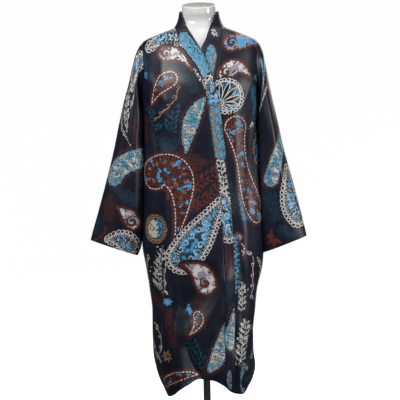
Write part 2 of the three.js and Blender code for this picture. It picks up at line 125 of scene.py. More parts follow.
BODY = table("z right left front back", [
    (1482, 60, 59, 54, 64),
    (1450, 66, 65, 52, 64),
    (1425, 78, 77, 56, 66),
    (1406, 124, 120, 68, 76),
    (1389, 164, 160, 79, 85),
    (1380, 178, 175, 84, 90),
    (1350, 185, 183, 96, 102),
    (1300, 187, 185, 110, 112),
    (1240, 188, 185, 128, 116),
    (1165, 189, 185, 131, 113),
    (1060, 190, 184, 125, 108),
    (950, 192, 185, 121, 118),
    (850, 194, 187, 123, 128),
    (750, 194, 188, 122, 128),
    (680, 184, 183, 118, 123),
    (600, 173, 164, 114, 116),
    (540, 167, 157, 112, 112),
    (470, 168, 149, 112, 110),
    (410, 167, 149, 112, 110),
    (358, 159, 154, 110, 108),
    (318, 147, 145, 104, 103),
    (290, 133, 130, 97, 97),
    (262, 123, 120, 91, 92),
])
HEM = table("angle z", [
    (-180, 300), (-130, 290), (-92, 292), (-66, 270), (-50, 276), (-32, 296), (-18, 314), (-5, 331),
    (5, 326), (15, 311), (28, 289), (40, 279), (62, 273), (90, 292), (130, 290), (180, 300),
])
RIGHT_EDGE = table("z seam edge edge_z", [
    (1425, -77.5, -59, 1474),
    (1392, -65, -43, 1431),
    (1355, -49, -22, 1393),
    (1319, -24, 2, 1351),
    (1290, -5, 22, 1313),
    (1240, 11, 41, 1250),
    (1190, 20, 53, 1193),
    (1120, 28, 62, 1120),
    (1040, 37, 70, 1040),
    (950, 47, 78, 950),
    (865, 54, 84, 865),
    (690, 60, 90, 690),
    (540, 59, 89, 540),
    (262, 53, 82, 262),
])
LEFT_EDGE = table("z seam edge edge_z", [
    (1425, 76.5, 58, 1472),
    (1376, 62, 33, 1427),
    (1340, 54, 19, 1386),
    (1288, 43, 2, 1351),
    (1264, 38, -4, 1318),
    (1220, 24, -14, 1245),
    (1165, 4, -29, 1170),
    (1060, -20, -53, 1060),
    (950, -38, -70, 950),
    (865, -48, -79, 865),
    (690, -55, -86, 690),
    (540, -53, -84, 540),
    (262, -46, -76, 262),
])

# Folds, each from one point through a bend to another, as seen square on. The first rows are the
# solids' own folds, and the creases are finer ones.
FOLD = "x z bend_x bend_z end_x end_z width lift"
FRONT_FOLDS = table(FOLD, [
    (76, 720, 74, 500, -54, 428, 29, 13),
    (40, 690, 14, 580, -84, 530, 30, -8),
    (66, 520, 44, 420, -34, 366, 25, -9),
    (88, 430, 70, 345, 22, 318, 24, 8),
    (-60, 470, -60, 372, -12, 333, 22, -12),
    (-84, 520, -88, 400, -76, 300, 22, 8),
    (-104, 1030, -112, 720, -124, 440, 18, 7),
    (-136, 900, -142, 680, -144, 450, 17, -7),
    (128, 900, 120, 640, 112, 340, 19, 7),
    (150, 1180, 152, 1010, 140, 820, 18, -7),
])
BACK_FOLDS = table(FOLD, [
    (0, 1180, 4, 760, -6, 300, 27, -10),
    (-72, 1090, -80, 700, -66, 320, 25, 9),
    (70, 1110, 84, 720, 64, 310, 25, 9),
    (-132, 1000, -124, 700, -112, 420, 21, -8),
    (134, 980, 126, 690, 108, 410, 21, -8),
])
FRONT_CREASES = table(FOLD, [
    (-168, 1290, -140, 1220, -96, 1186, 10, 2.6),
    (-176, 1230, -150, 1140, -136, 1030, 9, -2.8),
    (-120, 1340, -108, 1240, -118, 1110, 13, 2.2),
    (-152, 1176, -80, 1130, 0, 1092, 11, 2),
    (-158, 1110, -90, 1046, 10, 1012, 12, -2),
    (-60, 1120, -52, 1000, -62, 860, 12, 2.4),
    (-92, 980, -84, 860, -90, 720, 9, -2.6),
    (40, 980, 28, 850, 34, 730, 12, -2.8),
    (-22, 900, -36, 760, -30, 610, 14, 3),
    (-68, 830, -76, 690, -70, 560, 11, -4),
    (66, 690, 44, 540, -56, 470, 17, 9),
    (28, 690, -16, 600, -92, 540, 12, -6),
    (80, 600, 66, 480, 2, 420, 10, -6),
    (70, 474, 56, 392, 4, 350, 9, 5),
    (44, 500, 20, 430, -30, 394, 9, 4),
    (-82, 560, -102, 470, -106, 392, 10, 4),
    (-112, 430, -112, 360, -96, 292, 9, -4),
    (-116, 668, -114, 600, -128, 463, 8, 6),
    (-98, 640, -96, 560, -106, 470, 7, -4),
    (-142, 430, -132, 360, -112, 292, 9, 4),
    (-54, 450, -50, 390, -16, 334, 8, -5),
    (-34, 430, -28, 380, -14, 336, 7, 4),
    (24, 398, 22, 350, 30, 312, 9, -4),
    (100, 1180, 106, 1060, 100, 930, 12, 2.6),
    (166, 1280, 140, 1200, 110, 1152, 9, 2.6),
    (174, 1100, 160, 1000, 164, 880, 9, -2.4),
    (110, 700, 120, 600, 118, 480, 11, -5),
    (152, 650, 140, 560, 142, 460, 10, 4),
    (98, 520, 104, 430, 96, 322, 9, 4),
    (132, 470, 126, 400, 112, 312, 9, -4),
    (88, 1330, 96, 1250, 92, 1150, 12, 2),
])
BACK_CREASES = table(FOLD, [
    (-40, 1340, -34, 1180, -40, 1000, 13, 1.8),
    (44, 1330, 38, 1170, 42, 1010, 13, -1.8),
    (-160, 1250, -130, 1190, -84, 1160, 10, 2.2),
    (160, 1240, 130, 1186, 86, 1150, 10, 2.2),
    (-30, 860, -36, 640, -28, 420, 11, 2.2),
    (34, 830, 40, 640, 30, 400, 11, -2.2),
    (-100, 760, -104, 560, -92, 360, 9, -2.2),
    (104, 780, 108, 560, 94, 350, 9, 2.2),
    (-150, 700, -140, 560, -128, 400, 9, 2),
    (152, 690, 140, 540, 126, 390, 9, -2),
    (-58, 420, -52, 360, -56, 304, 8, 1.8),
    (56, 430, 60, 360, 52, 302, 8, -1.8),
])

SLEEVE = table("at out_r out_l out_z in_r in_l in_z front back y", [
    (0.04, 189, 187, 1368, 193, 189, 1167.6, 59, 65, 0),
    (0.1, 201, 197, 1343, 189, 185, 1160, 66, 71, -3),
    (0.17, 212, 204, 1306, 183, 179, 1151, 70, 74, -7),
    (0.25, 224, 212, 1255, 178, 174, 1138, 72, 74, -12),
    (0.34, 240, 222, 1200, 175, 172, 1114, 71, 71, -17),
    (0.45, 258, 238, 1125, 178, 174, 1070, 67, 66, -21),
    (0.57, 277, 255, 1040, 174, 171, 1000, 60, 59, -24),
    (0.7, 304, 281, 940, 174, 170, 905, 50, 49, -26),
    (0.83, 330, 303, 850, 181, 174, 812, 39, 38, -28),
    (0.94, 349, 317, 788, 197, 180, 743, 30, 29, -28),
    (1, 355, 322, 766, 209, 184, 715, 26, 25, -28),
])
SLEEVE_FOLDS = table("turn start end width lift slant", [
    (62, 0.3, 0.98, 16, -6, 0),
    (118, 0.16, 0.8, 15, 5, 0),
    (244, 0.3, 0.95, 18, -6, 0),
    (300, 0.2, 0.85, 16, 5, 0),
    (40, 0.1, 0.5, 7, 1.8, 40),
    (84, 0.12, 0.55, 8, -2, 36),
    (150, 0.1, 0.45, 8, 1.8, -46),
    (96, 0.5, 0.98, 7, 1.8, 14),
    (74, 0.62, 1, 6, -1.8, -10),
    (132, 0.55, 1, 7, -1.6, 8),
    (262, 0.12, 0.5, 8, 1.8, 30),
    (288, 0.5, 1, 7, -1.8, -12),
    (226, 0.55, 1, 7, 1.6, 10),
])

FORM = table("z half front back tilt", [
    (1500, 47, 46, 53, 1),
    (1499.4, 51.5, 50, 57, 1),
    (1496, 53.5, 52, 59, 1),
    (1484, 54, 52, 60, 0.8),
    (1440, 57, 44, 54, 0),
    (1350, 176, 88, 95, 0),
    (1300, 172, 103, 104, 0),
    (1240, 160, 119, 106, 0),
    (1165, 150, 116, 100, 0),
    (1060, 124, 98, 88, 0),
    (950, 150, 102, 104, 0),
    (860, 166, 108, 114, 0),
    (806, 163, 106, 112, 0),
    (790, 154, 99, 105, 0),
])


# Curves and sections


def column(rows, key, by="z"):
    """A smooth curve through one column of a table, which never swings past the values it joins."""
    rows = sorted(rows, key=lambda r: r[by])
    xs = np.array([r[by] for r in rows], float)
    ys = np.array([r[key] for r in rows], float)
    rise = np.diff(ys) / np.diff(xs)
    before = np.concatenate([rise[:1], rise])
    after = np.concatenate([rise, rise[-1:]])
    both = before * after
    slopes = np.where(both > 0, 2 * both / np.where(both > 0, before + after, 1), 0)

    def value(at):
        p = np.clip(at, xs[0], xs[-1])
        i = np.clip(np.searchsorted(xs, p) - 1, 0, len(xs) - 2)
        step = xs[i + 1] - xs[i]
        t = (p - xs[i]) / step
        joined = ys[i] + (ys[i + 1] - ys[i]) * t * t * (3 - 2 * t)
        return joined + step * t * (1 - t) * (slopes[i] * (1 - t) - slopes[i + 1] * t)

    return value


def smooth(t):
    t = np.clip(t, 0, 1)
    return t * t * (3 - 2 * t)


def lerp(a, b, t):
    return a + (b - a) * t


body = {key: column(BODY, key) for key in ("right", "left", "front", "back")}
right_edge = {key: column(RIGHT_EDGE, key) for key in ("seam", "edge", "edge_z")}
left_edge = {key: column(LEFT_EDGE, key) for key in ("seam", "edge", "edge_z")}
hem_at = column(HEM, "z", "angle")


def power(z):
    """A section's squareness: 2 would make it an ellipse."""
    start, over = NECK_TURN
    return lerp(SQUARENESS["body"], SQUARENESS["neck"], smooth((z - start) / over))


def outline(angle, width, depth, n):
    """A section's outline at an angle from the front's middle, positive towards +X."""
    s, c = np.sin(angle), np.cos(angle)
    x = np.sign(s) * width * np.abs(s) ** (2 / n)
    return x, -np.sign(c) * depth * np.abs(c) ** (2 / n)


def width_at(angle, z):
    return np.where(np.sin(angle) < 0, body["right"](z), body["left"](z))


def depth_at(angle, z):
    return np.where(np.cos(angle) > 0, body["front"](z), body["back"](z))


def angle_at(x, z):
    share = np.clip(np.abs(x) / np.where(x < 0, body["right"](z), body["left"](z)), 0, 1)
    return np.sign(x) * np.arcsin(share ** (power(z) / 2))


def fold_lift(fold, x, z):
    """How far a fold lifts the cloth, from the distance to its curve, taken in short straight steps."""
    t = np.linspace(0, 1, FOLD_STEPS + 1)
    curve = [
        (1 - t) ** 2 * fold[key] + 2 * t * (1 - t) * fold["bend_" + key] + t * t * fold["end_" + key]
        for key in ("x", "z")
    ]
    px, pz = curve[0], curve[1] * FOLD_STRETCH
    z = z * FOLD_STRETCH
    nearest = np.full(x.shape, 1e9)
    along = np.zeros(x.shape)
    for i in range(FOLD_STEPS):
        dx, dz = px[i + 1] - px[i], pz[i + 1] - pz[i]
        share = np.clip(((x - px[i]) * dx + (z - pz[i]) * dz) / (dx * dx + dz * dz), 0, 1)
        gap = (x - px[i] - share * dx) ** 2 + (z - pz[i] - share * dz) ** 2
        closer = gap < nearest
        along = np.where(closer, (i + share) / FOLD_STEPS, along)
        nearest = np.where(closer, gap, nearest)
    start = smooth(FOLD_START[0] + along * FOLD_START[1])
    end = smooth(FOLD_END[0] + (1 - along) * FOLD_END[1])
    return fold["lift"] * (start * end) * np.exp(-nearest / fold["width"] ** 2)


def cloth_point(angle, z, layer):
    """The cloth's middle at an angle and height, with its folds. layer is upper, under or single."""
    n, width, depth = power(z), width_at(angle, z), depth_at(angle, z)
    x, y = outline(angle, width, depth, n)
    nx = np.sign(x) * (np.abs(x) / width) ** (n - 1) / width
    ny = np.sign(y) * (np.abs(y) / depth) ** (n - 1) / depth
    size = np.hypot(nx, ny)
    facing = smooth(np.abs(np.cos(angle)) / FOLD_SIDE)
    front = np.cos(angle) > 0
    covered = smooth((right_edge["edge"](z) + UNDERLAP_PAST[0] - x) / UNDERLAP_PAST[1])
    lift = np.zeros(x.shape)
    if layer == "upper":
        lift += LAP * smooth((x - LAP_START[0]) / LAP_START[1]) * smooth((LAP_TOP[0] - z) / LAP_TOP[1])
    for folds, side in ((FRONT_FOLDS + FRONT_CREASES, front), (BACK_FOLDS + BACK_CREASES, ~front)):
        if not side.any():
            continue
        for fold in folds:
            share = 1
            if layer == "under":
                share = lerp(1, UNDERLAP["ridge" if fold["lift"] > 0 else "valley"], covered)
            lift += np.where(side, facing * share * fold_lift(fold, x, z), 0)
    lift += RIPPLE * np.sin(x / 13 + np.sin(z / 41) * 2) * np.sin(z / 37 + x / 60) * facing
    return np.stack([x + nx / size * lift, y + ny / size * lift, z], -1)


# The rows of the body panels

shoulder_share = (np.arange(SHOULDER_ROWS) / SHOULDER_ROWS) ** SHOULDER_CROWD
shoulder_z = lerp(NECK_SEAM - SEAM, SHOULDER_TIP, shoulder_share)
armhole_z = ARMHOLE_MIDDLE + ARMHOLE_HALF * np.cos(math.pi * np.arange(ARMHOLE_ROWS) / ARMHOLE_ROWS)
level_z = np.concatenate([shoulder_z, armhole_z, np.full(SKIRT_ROWS + 1, UNDERARM)])
level_share = np.concatenate([np.zeros(SHOULDER_ROWS + ARMHOLE_ROWS), np.linspace(0, 1, SKIRT_ROWS + 1)])
in_skirt = np.arange(len(level_z)) >= SHOULDER_ROWS + ARMHOLE_ROWS


def row_height(angle):
    """Heights on the rows at some angles. angle's first axis is the rows."""
    turn = np.degrees(angle)
    shape = (-1,) + (1,) * (np.ndim(angle) - 1)
    low = hem_at(np.where(turn > 180, turn - 360, turn))
    skirt = lerp(UNDERARM, low, level_share.reshape(shape))
    return np.where(in_skirt.reshape(shape), skirt, level_z.reshape(shape))


def meet(angle_of):
    """The angle at which each row meets a line that is given by height."""
    angle = angle_of(level_z)
    for _ in range(6):
        angle = angle_of(row_height(angle))
    return angle


def side_angle(z, reach, depth):
    share = np.clip((z - ARMHOLE_MIDDLE) / ARMHOLE_HALF, -1, 1)
    from_side = reach * np.sqrt(1 - share * share) + SEAM
    return np.arccos(np.clip(from_side / depth(z), 0, 1) ** (power(z) / 2))


front_side = meet(lambda z: side_angle(z, ARMHOLE["front"], body["front"]))
back_side = meet(lambda z: side_angle(z, ARMHOLE["back"], body["back"]))


# Meshes


def normals_of(grid, tube=False):
    """Unit normals of a grid of points, from its neighbours down and across."""
    if tube:
        across = np.roll(grid, -1, 1) - np.roll(grid, 1, 1)
    else:
        across = np.gradient(grid, axis=1)
    normal = np.cross(np.gradient(grid, axis=0), across)
    return normal / np.maximum(np.linalg.norm(normal, axis=-1, keepdims=True), 1e-9)


def quads(rows, cols, tube, start=0, turned=False):
    i, j = np.meshgrid(np.arange(rows - 1), np.arange(cols if tube else cols - 1), indexing="ij")
    nxt = (j + 1) % cols
    corners = [i * cols + j, (i + 1) * cols + j, (i + 1) * cols + nxt, i * cols + nxt]
    if turned:
        corners.reverse()
    return np.stack(corners, -1).reshape(-1, 4) + start


def rim_quads(rows, cols, tube):
    """The faces that join a wall's two sides round its edges."""
    back = rows * cols
    j = np.arange(cols if tube else cols - 1)
    nxt = (j + 1) % cols
    last = (rows - 1) * cols
    parts = [
        np.stack([j, nxt, nxt + back, j + back], -1),
        np.stack([last + nxt, last + j, last + j + back, last + nxt + back], -1),
    ]
    if not tube:
        i = np.arange(rows - 1) * cols
        end = i + cols - 1
        parts.append(np.stack([i + cols, i, i + back, i + cols + back], -1))
        parts.append(np.stack([end, end + cols, end + cols + back, end + back], -1))
    return np.concatenate(parts)


def mesh_object(name, points, faces):
    """A smooth-shaded mesh in the scene, from points in millimetres and a list of faces."""
    mesh = bpy.data.meshes.new(name)
    mesh.from_pydata((np.asarray(points) * MM).tolist(), [], faces)
    mesh.validate()
    mesh.polygons.foreach_set("use_smooth", [True] * len(mesh.polygons))
    made = bpy.data.objects.new(name, mesh)
    bpy.context.scene.collection.objects.link(made)
    return made


def ring_loops(profile, sides):
    """Rings of points round the axis, from radii and heights."""
    turn = np.linspace(0, 2 * math.pi, sides, endpoint=False)
    x, y = np.cos(turn), np.sin(turn)
    return [np.stack([r * x, r * y, np.full(sides, float(z))], -1) for r, z in profile]


def closed_stack(name, loops, low, high):
    """A closed body through rings of points, with a middle point at each end."""
    sides = len(loops[0])
    points = np.concatenate([*loops, [[0, 0, low], [0, 0, high]]])
    faces = quads(len(loops), sides, True, turned=True).tolist()
    bottom, top = len(points) - 2, len(points) - 1
    last = bottom - sides
    for j in range(sides):
        nxt = (j + 1) % sides
        faces.append([bottom, nxt, j])
        faces.append([top, last + j, last + nxt])
    return mesh_object(name, points, faces)


class Cloth:
    """A cut piece: a grid of points on its middle, and its place on the flat cloth in millimetres."""

    def __init__(self, name, grid, across, down, wall=WALL, tube=False):
        self.name, self.grid, self.wall, self.tube = name, grid, wall, tube
        self.across, self.down = across, down
        self.rows, self.cols = grid.shape[:2]
        self.facing = normals_of(grid, tube)[..., 1]

    def place(self, x, z, front):
        """Where on the flat cloth a point lies that is seen from the front or the back."""
        seen = self.facing < 0 if front else self.facing > 0
        far = (self.grid[..., 0] - x) ** 2 + (self.grid[..., 2] - z) ** 2 + np.where(seen, 0, 1e9)
        i, j = np.unravel_index(np.argmin(far), far.shape)
        return np.array([self.across[i, j], self.down[i, j]])

    def area(self):
        """The cloth's area in square metres."""
        g = self.grid
        if self.tube:
            g = np.concatenate([g, g[:, :1]], 1)
        a, b = g[1:, :-1] - g[:-1, :-1], g[:-1, 1:] - g[:-1, :-1]
        return float(np.linalg.norm(np.cross(a, b), axis=-1).sum()) * MM * MM

    def build(self, motifs):
        normal = normals_of(self.grid, self.tube)
        outer = (self.grid + normal * self.wall / 2).reshape(-1, 3)
        inner = (self.grid - normal * self.wall / 2).reshape(-1, 3)
        front = quads(self.rows, self.cols, self.tube)
        back = quads(self.rows, self.cols, self.tube, len(outer), turned=True)
        rim = rim_quads(self.rows, self.cols, self.tube)
        faces = np.concatenate([front, back, rim]).tolist()
        made = mesh_object(self.name, np.concatenate([outer, inner]), faces)
        flat = np.stack([self.across.ravel(), self.down.ravel()], -1)
        place, edge = paint(flat, front, motifs)
        edges = self.edge_distance().ravel()
        corner = front.ravel()
        cloth = np.concatenate([flat[corner], edges[corner, None]], 1)
        inside = np.zeros((len(back) * 4 + len(rim) * 4, 3))
        inside[:, :2] = flat[np.concatenate([back.ravel(), rim.ravel()]) % len(flat)]
        inside[:, 2] = EDGE_REACH
        outside = np.zeros_like(inside) + [NO_MOTIF, 0, 0]
        for deck, name in enumerate(("under", "over")):
            store(made, name + "_place", np.concatenate([place[deck], np.zeros_like(inside)]))
            store(made, name + "_edge", np.concatenate([edge[deck], outside]))
        store(made, "cloth", np.concatenate([cloth, inside]))
        reverse = np.zeros(len(made.data.polygons), int)
        reverse[len(front):len(front) + len(back)] = 1
        made.data.materials.append(satin)
        made.data.materials.append(satin_reverse)
        made.data.polygons.foreach_set("material_index", reverse)
        return made

    def edge_distance(self):
        """How far each point is from the piece's nearest cut edge."""
        g = self.grid
        down = np.linalg.norm(np.diff(g, axis=0), axis=-1)
        down = np.concatenate([np.zeros((1, self.cols)), np.cumsum(down, 0)])
        far = np.minimum(down, down[-1:] - down)
        if not self.tube:
            side = np.linalg.norm(np.diff(g, axis=1), axis=-1)
            side = np.concatenate([np.zeros((self.rows, 1)), np.cumsum(side, 1)], 1)
            far = np.minimum(far, np.minimum(side, side[:, -1:] - side))
        return np.minimum(far, EDGE_REACH)


def store(made, name, values):
    """Keeps a vector for each corner of each face, for the material to read."""
    layer = made.data.attributes.new(name, "FLOAT_VECTOR", "CORNER")
    layer.data.foreach_set("vector", np.ascontiguousarray(values, np.float32).ravel())


# Motifs. Each lies on a spine on the flat cloth, in millimetres, and has an outline round it.

# Each kind's number for the material, its form, its deck (1 is printed over 0), and how far
# outside its outline its loops and dots may lie
KINDS = {
    "comma": (1, "drop", 1, 5),
    "lace": (2, "drop", 1, 13),
    "scroll": (3, "drop", 1, 12),
    "eye": (4, "drop", 1, 5),
    "rose": (5, "ring", 1, 3),
    "fan": (6, "half ring", 1, 3),
    "ovals": (7, "stem", 1, 2),
    "leaf": (8, "stem", 0, 3),
    "spray": (9, "stem", 0, 6),
    "specks": (10, "stem", 0, 12),
    "chain": (11, "stem", 0, 6),
    "bloom": (12, "ring", 0, 5),
    "vine": (13, "stem", 0, 8),
    "zigzag": (14, "stem", 1, 2),
    "spot": (15, "ring", 0, 4),
}
WAIST = {"comma": -0.6}  # how much a motif with two round ends swells or narrows between them
FAN_SHIFT = 27  # how far a half flower's middle lies from its outline's
MOTIF = "kind x z bend_x bend_z end_x end_z radius tip tint"


def unit(vectors):
    return vectors / np.maximum(np.linalg.norm(vectors, axis=-1, keepdims=True), 1e-6)


def arc(centre, start, sweep, radius):
    turn = np.linspace(start, start + sweep, 16)[1:-1]
    return centre + np.stack([np.cos(turn), np.sin(turn)], -1) * radius


def spine_of(head, bend, end, steps=40):
    t = np.linspace(0, 1, steps)[:, None]
    return (1 - t) ** 2 * head + 2 * t * (1 - t) * bend + t * t * end


def outline_of(form, spine, radius, tip, waist):
    """A motif's closed outline. A tip below 0 gives a leaf that is pointed at both ends."""
    t = np.linspace(0, 1, len(spine))[:, None]
    ahead = unit(np.gradient(spine, axis=0))
    side = np.stack([-ahead[:, 1], ahead[:, 0]], -1)
    if form.endswith("ring"):
        return arc(spine[0], 0, 2 * math.pi * 16 / 15, radius)
    if form == "drop" and tip >= 0:
        swell = 0.45 if tip < radius / 2 else waist
        half = radius * (1 - t) ** 0.85 * (1 + swell * np.sin(math.pi * t)) + tip * smooth(t)
    elif tip < 0:
        half = radius * np.sin(math.pi * t) ** 0.75
    else:
        half = np.full(t.shape, float(radius))
    start = math.atan2(-side[0, 1], -side[0, 0])
    finish = math.atan2(side[-1, 1], side[-1, 0])
    parts = [spine + side * half]
    if half[-1] > 0.5:
        parts.append(arc(spine[-1], finish, -math.pi, half[-1]))
    parts.append((spine - side * half)[::-1])
    if half[0] > 0.5:
        parts.append(arc(spine[0], start, -math.pi, half[0]))
    return np.concatenate(parts)


def local_place(form, spine, points):
    """A point's place beside its spine, or about its motif's head."""
    ahead = unit(np.gradient(spine, axis=0))
    if form != "stem":
        rel = points - spine[0]
        if form == "half ring":
            rel = rel + unit(spine[-1] - spine[0]) * FAN_SHIFT
        return np.stack([rel[:, 0] * ahead[0, 1] - rel[:, 1] * ahead[0, 0], rel @ ahead[0]], -1)
    steps = np.linalg.norm(np.diff(spine, axis=0), axis=1)
    along = np.concatenate([[0], np.cumsum(steps)])
    near = ((points[:, None] - spine[None]) ** 2).sum(-1).argmin(1)
    rel = points - spine[near]
    aside = rel[:, 0] * ahead[near, 1] - rel[:, 1] * ahead[near, 0]
    return np.stack([aside, along[near] + (rel * ahead[near]).sum(-1)], -1)


def signed_distance(points, polygon):
    """Distance to a closed outline, negative inside, and the place along it."""
    start, end = polygon, np.roll(polygon, -1, 0)
    edge = end - start
    length = np.linalg.norm(edge, axis=1)
    along = np.concatenate([[0], np.cumsum(length)[:-1]])
    rel = points[:, None, :] - start[None]
    t = np.clip((rel * edge).sum(-1) / np.maximum(length**2, 1e-9), 0, 1)
    gap = np.linalg.norm(rel - t[..., None] * edge, axis=-1)
    near = gap.argmin(1)
    pick = np.arange(len(points))
    above = points[:, None, 1] < np.stack([start[:, 1], end[:, 1]])[:, None, :]
    crosses = above[0] != above[1]
    rise = np.where(np.abs(edge[:, 1]) < 1e-9, 1e-9, edge[:, 1])
    meets = start[:, 0] + (points[:, None, 1] - start[:, 1]) / rise * edge[:, 0]
    inside = (crosses & (points[:, None, 0] < meets)).sum(1) % 2 == 1
    return np.where(inside, -1, 1) * gap[pick, near], along[near] + t[pick, near] * length[near], along[-1]


def paint(flat, faces, motifs):
    """Gives each face its motif on both decks, and its corners their place in it."""
    middle = flat[faces].mean(1)
    place = np.zeros((2, len(faces), 4, 3))
    edge = np.zeros((2, len(faces), 4, 3))
    edge[..., 0] = NO_MOTIF
    for kind, head, bend, end, radius, tip, tint in motifs:
        number, form, deck, margin = KINDS[kind]
        spine = spine_of(head, bend, end)
        polygon = outline_of(form, spine, radius, tip, WAIST.get(kind, 0))
        low, high = polygon.min(0) - margin - 4, polygon.max(0) + margin + 4
        near = np.flatnonzero(((middle > low) & (middle < high)).all(1))
        if not len(near):
            continue
        near = near[signed_distance(middle[near], polygon)[0] < margin + 2]
        if not len(near):
            continue
        corners = flat[faces[near]].reshape(-1, 2)
        d, s, whole = signed_distance(corners, polygon)
        s = s.reshape(-1, 4)
        s = np.where(s - s[:, :1] > whole / 2, s - whole, np.where(s[:, :1] - s > whole / 2, s + whole, s))
        place[deck, near, :, :2] = local_place(form, spine, corners).reshape(-1, 4, 2)
        place[deck, near, :, 2] = number
        edge[deck, near] = np.stack([d.reshape(-1, 4), s, np.full(s.shape, float(tint))], -1)
    return place.reshape(2, -1, 3), edge.reshape(2, -1, 3)


# Materials


def sum_of(operation):
    """A method that works a value out with others."""
    return lambda self, *others: self.math(operation, *others)


class Value:
    """A number or vector in a material, which sums like one."""

    def __init__(self, tree, socket):
        self.tree, self.socket = tree, socket

    def math(self, operation, *others):
        node = self.tree.nodes.new("ShaderNodeMath")
        node.operation = operation
        for given, put in zip((self, *others), node.inputs):
            if isinstance(given, Value):
                self.tree.links.new(given.socket, put)
            else:
                put.default_value = given
        return Value(self.tree, node.outputs[0])

    __add__ = __radd__ = sum_of("ADD")
    __sub__ = sum_of("SUBTRACT")
    __mul__ = __rmul__ = sum_of("MULTIPLY")
    __truediv__ = sum_of("DIVIDE")
    __pow__ = sum_of("POWER")
    sin = sum_of("SINE")
    abs = sum_of("ABSOLUTE")
    min = sum_of("MINIMUM")
    max = sum_of("MAXIMUM")

    def __rsub__(self, other):
        return self * -1 + other

    def below(self, limit, soft=0.5):
        """1 where this is below a limit, 0 above it, with a soft edge between."""
        node = self.tree.nodes.new("ShaderNodeMapRange")
        node.interpolation_type = "SMOOTHSTEP"
        self.tree.links.new(self.socket, node.inputs["Value"])
        node.inputs["From Min"].default_value = limit - soft
        node.inputs["From Max"].default_value = limit + soft
        node.inputs["To Min"].default_value = 1
        node.inputs["To Max"].default_value = 0
        return Value(self.tree, node.outputs["Result"])

    def line(self, at, half, soft=0.45):
        return (self - at).abs().below(half, soft)

    def saw(self, period):
        """How far this is from the middle of its own period."""
        return self.math("FLOORED_MODULO", period) - period / 2


def attribute(tree, name):
    node = tree.nodes.new("ShaderNodeAttribute")
    node.attribute_name = name
    parts = tree.nodes.new("ShaderNodeSeparateXYZ")
    tree.links.new(node.outputs["Vector"], parts.inputs[0])
    return node, [Value(tree, parts.outputs[i]) for i in range(3)]


def noise(tree, vector, scale, detail=2.0):
    node = tree.nodes.new("ShaderNodeTexNoise")
    node.inputs["Scale"].default_value = scale
    node.inputs["Detail"].default_value = detail
    tree.links.new(vector, node.inputs["Vector"])
    return Value(tree, node.outputs["Fac"])


def srgb(r, g, b):
    return tuple(((c / 255 + 0.055) / 1.055) ** 2.4 if c > 10 else c / 255 / 12.92 for c in (r, g, b)) + (1,)


def mixed(tree, under, over, mask):
    """One colour painted over another where a mask is 1. Each colour is a fixed one or a socket."""
    node = tree.nodes.new("ShaderNodeMix")
    node.data_type = "RGBA"
    for given, put in ((under, node.inputs[6]), (over, node.inputs[7])):
        if isinstance(given, tuple):
            put.default_value = given
        else:
            tree.links.new(given, put)
    tree.links.new(mask.socket, node.inputs[0])
    return node.outputs[2]


def tinted(tree, shader, low, high, tone):
    """A shader's colour, from one to another by a tone."""
    tree.links.new(mixed(tree, srgb(*low), srgb(*high), tone), shader.inputs["Base Color"])


NAVY = srgb(23, 28, 48)
DARK = srgb(12, 14, 25)
RUST = srgb(104, 44, 30)
BROWN = srgb(66, 30, 26)
SKY = srgb(74, 158, 208)
TEAL = srgb(36, 80, 102)
PALE = srgb(140, 166, 184)
WHITE = srgb(214, 210, 206)
TAN = srgb(160, 134, 98)
CREAM = srgb(206, 196, 178)
DEEP_TEAL = srgb(20, 42, 58)
LILAC = srgb(150, 146, 160)
AQUA = srgb(84, 150, 172)
TINTS = [WHITE, TAN, RUST, SKY, TEAL, PALE]


def tint_ramp(tree, tint):
    """The colour that a motif's number picks."""
    node = tree.nodes.new("ShaderNodeValToRGB")
    node.color_ramp.interpolation = "CONSTANT"
    while len(node.color_ramp.elements) < len(TINTS):
        node.color_ramp.elements.new(1)
    for i, (element, colour) in enumerate(zip(node.color_ramp.elements, TINTS)):
        element.position = i / len(TINTS)
        element.color = colour
    tree.links.new(((tint + 0.5) / len(TINTS)).socket, node.inputs[0])
    return node.outputs[0]


def print_colour(tree):
    """The printed cloth's colour, from the motifs that each face holds."""
    cloth, (across, down, hem) = attribute(tree, "cloth")
    vector = cloth.outputs["Vector"]
    broad = noise(tree, vector, 0.055, 2)
    rough = noise(tree, vector, 0.13, 3)
    fine = noise(tree, vector, 0.45, 2)
    jag = threads(tree, vector)
    colour = mixed(tree, NAVY, DARK, noise(tree, vector, 0.03, 2))
    faint = (noise(tree, vector, 0.075, 5) - 0.66) * -1
    bare = 1 - noise(tree, vector, 0.012, 2).below(0.5, 0.04)
    colour = mixed(tree, colour, DEEP_TEAL, faint.below(0, 0.015) * bare)
    for deck in ("under", "over"):
        _, (x, y, kind) = attribute(tree, deck + "_place")
        _, (edge, along, tint) = attribute(tree, deck + "_edge")
        ink = Ink(tree, x, y, edge, along, tint, (broad, rough, fine, jag))
        for name, (number, _, its_deck, _) in KINDS.items():
            if its_deck == (deck == "over"):
                art = colour
                for layer, mask in getattr(ink, name)():
                    art = mixed(tree, art, layer, mask)
                colour = mixed(tree, colour, art, (kind - number).abs().below(0.5, 0.01))
    return colour, cloth, (across, down, hem)


def threads(tree, vector):
    """A small random shift for each square of the weave, which makes the print's edges ragged."""
    snap = tree.nodes.new("ShaderNodeVectorMath")
    snap.operation = "SNAP"
    snap.inputs[1].default_value = (1.7, 1.7, 100)
    tree.links.new(vector, snap.inputs[0])
    random = tree.nodes.new("ShaderNodeTexWhiteNoise")
    tree.links.new(snap.outputs[0], random.inputs["Vector"])
    return (Value(tree, random.outputs["Value"]) - 0.5) * 2.2


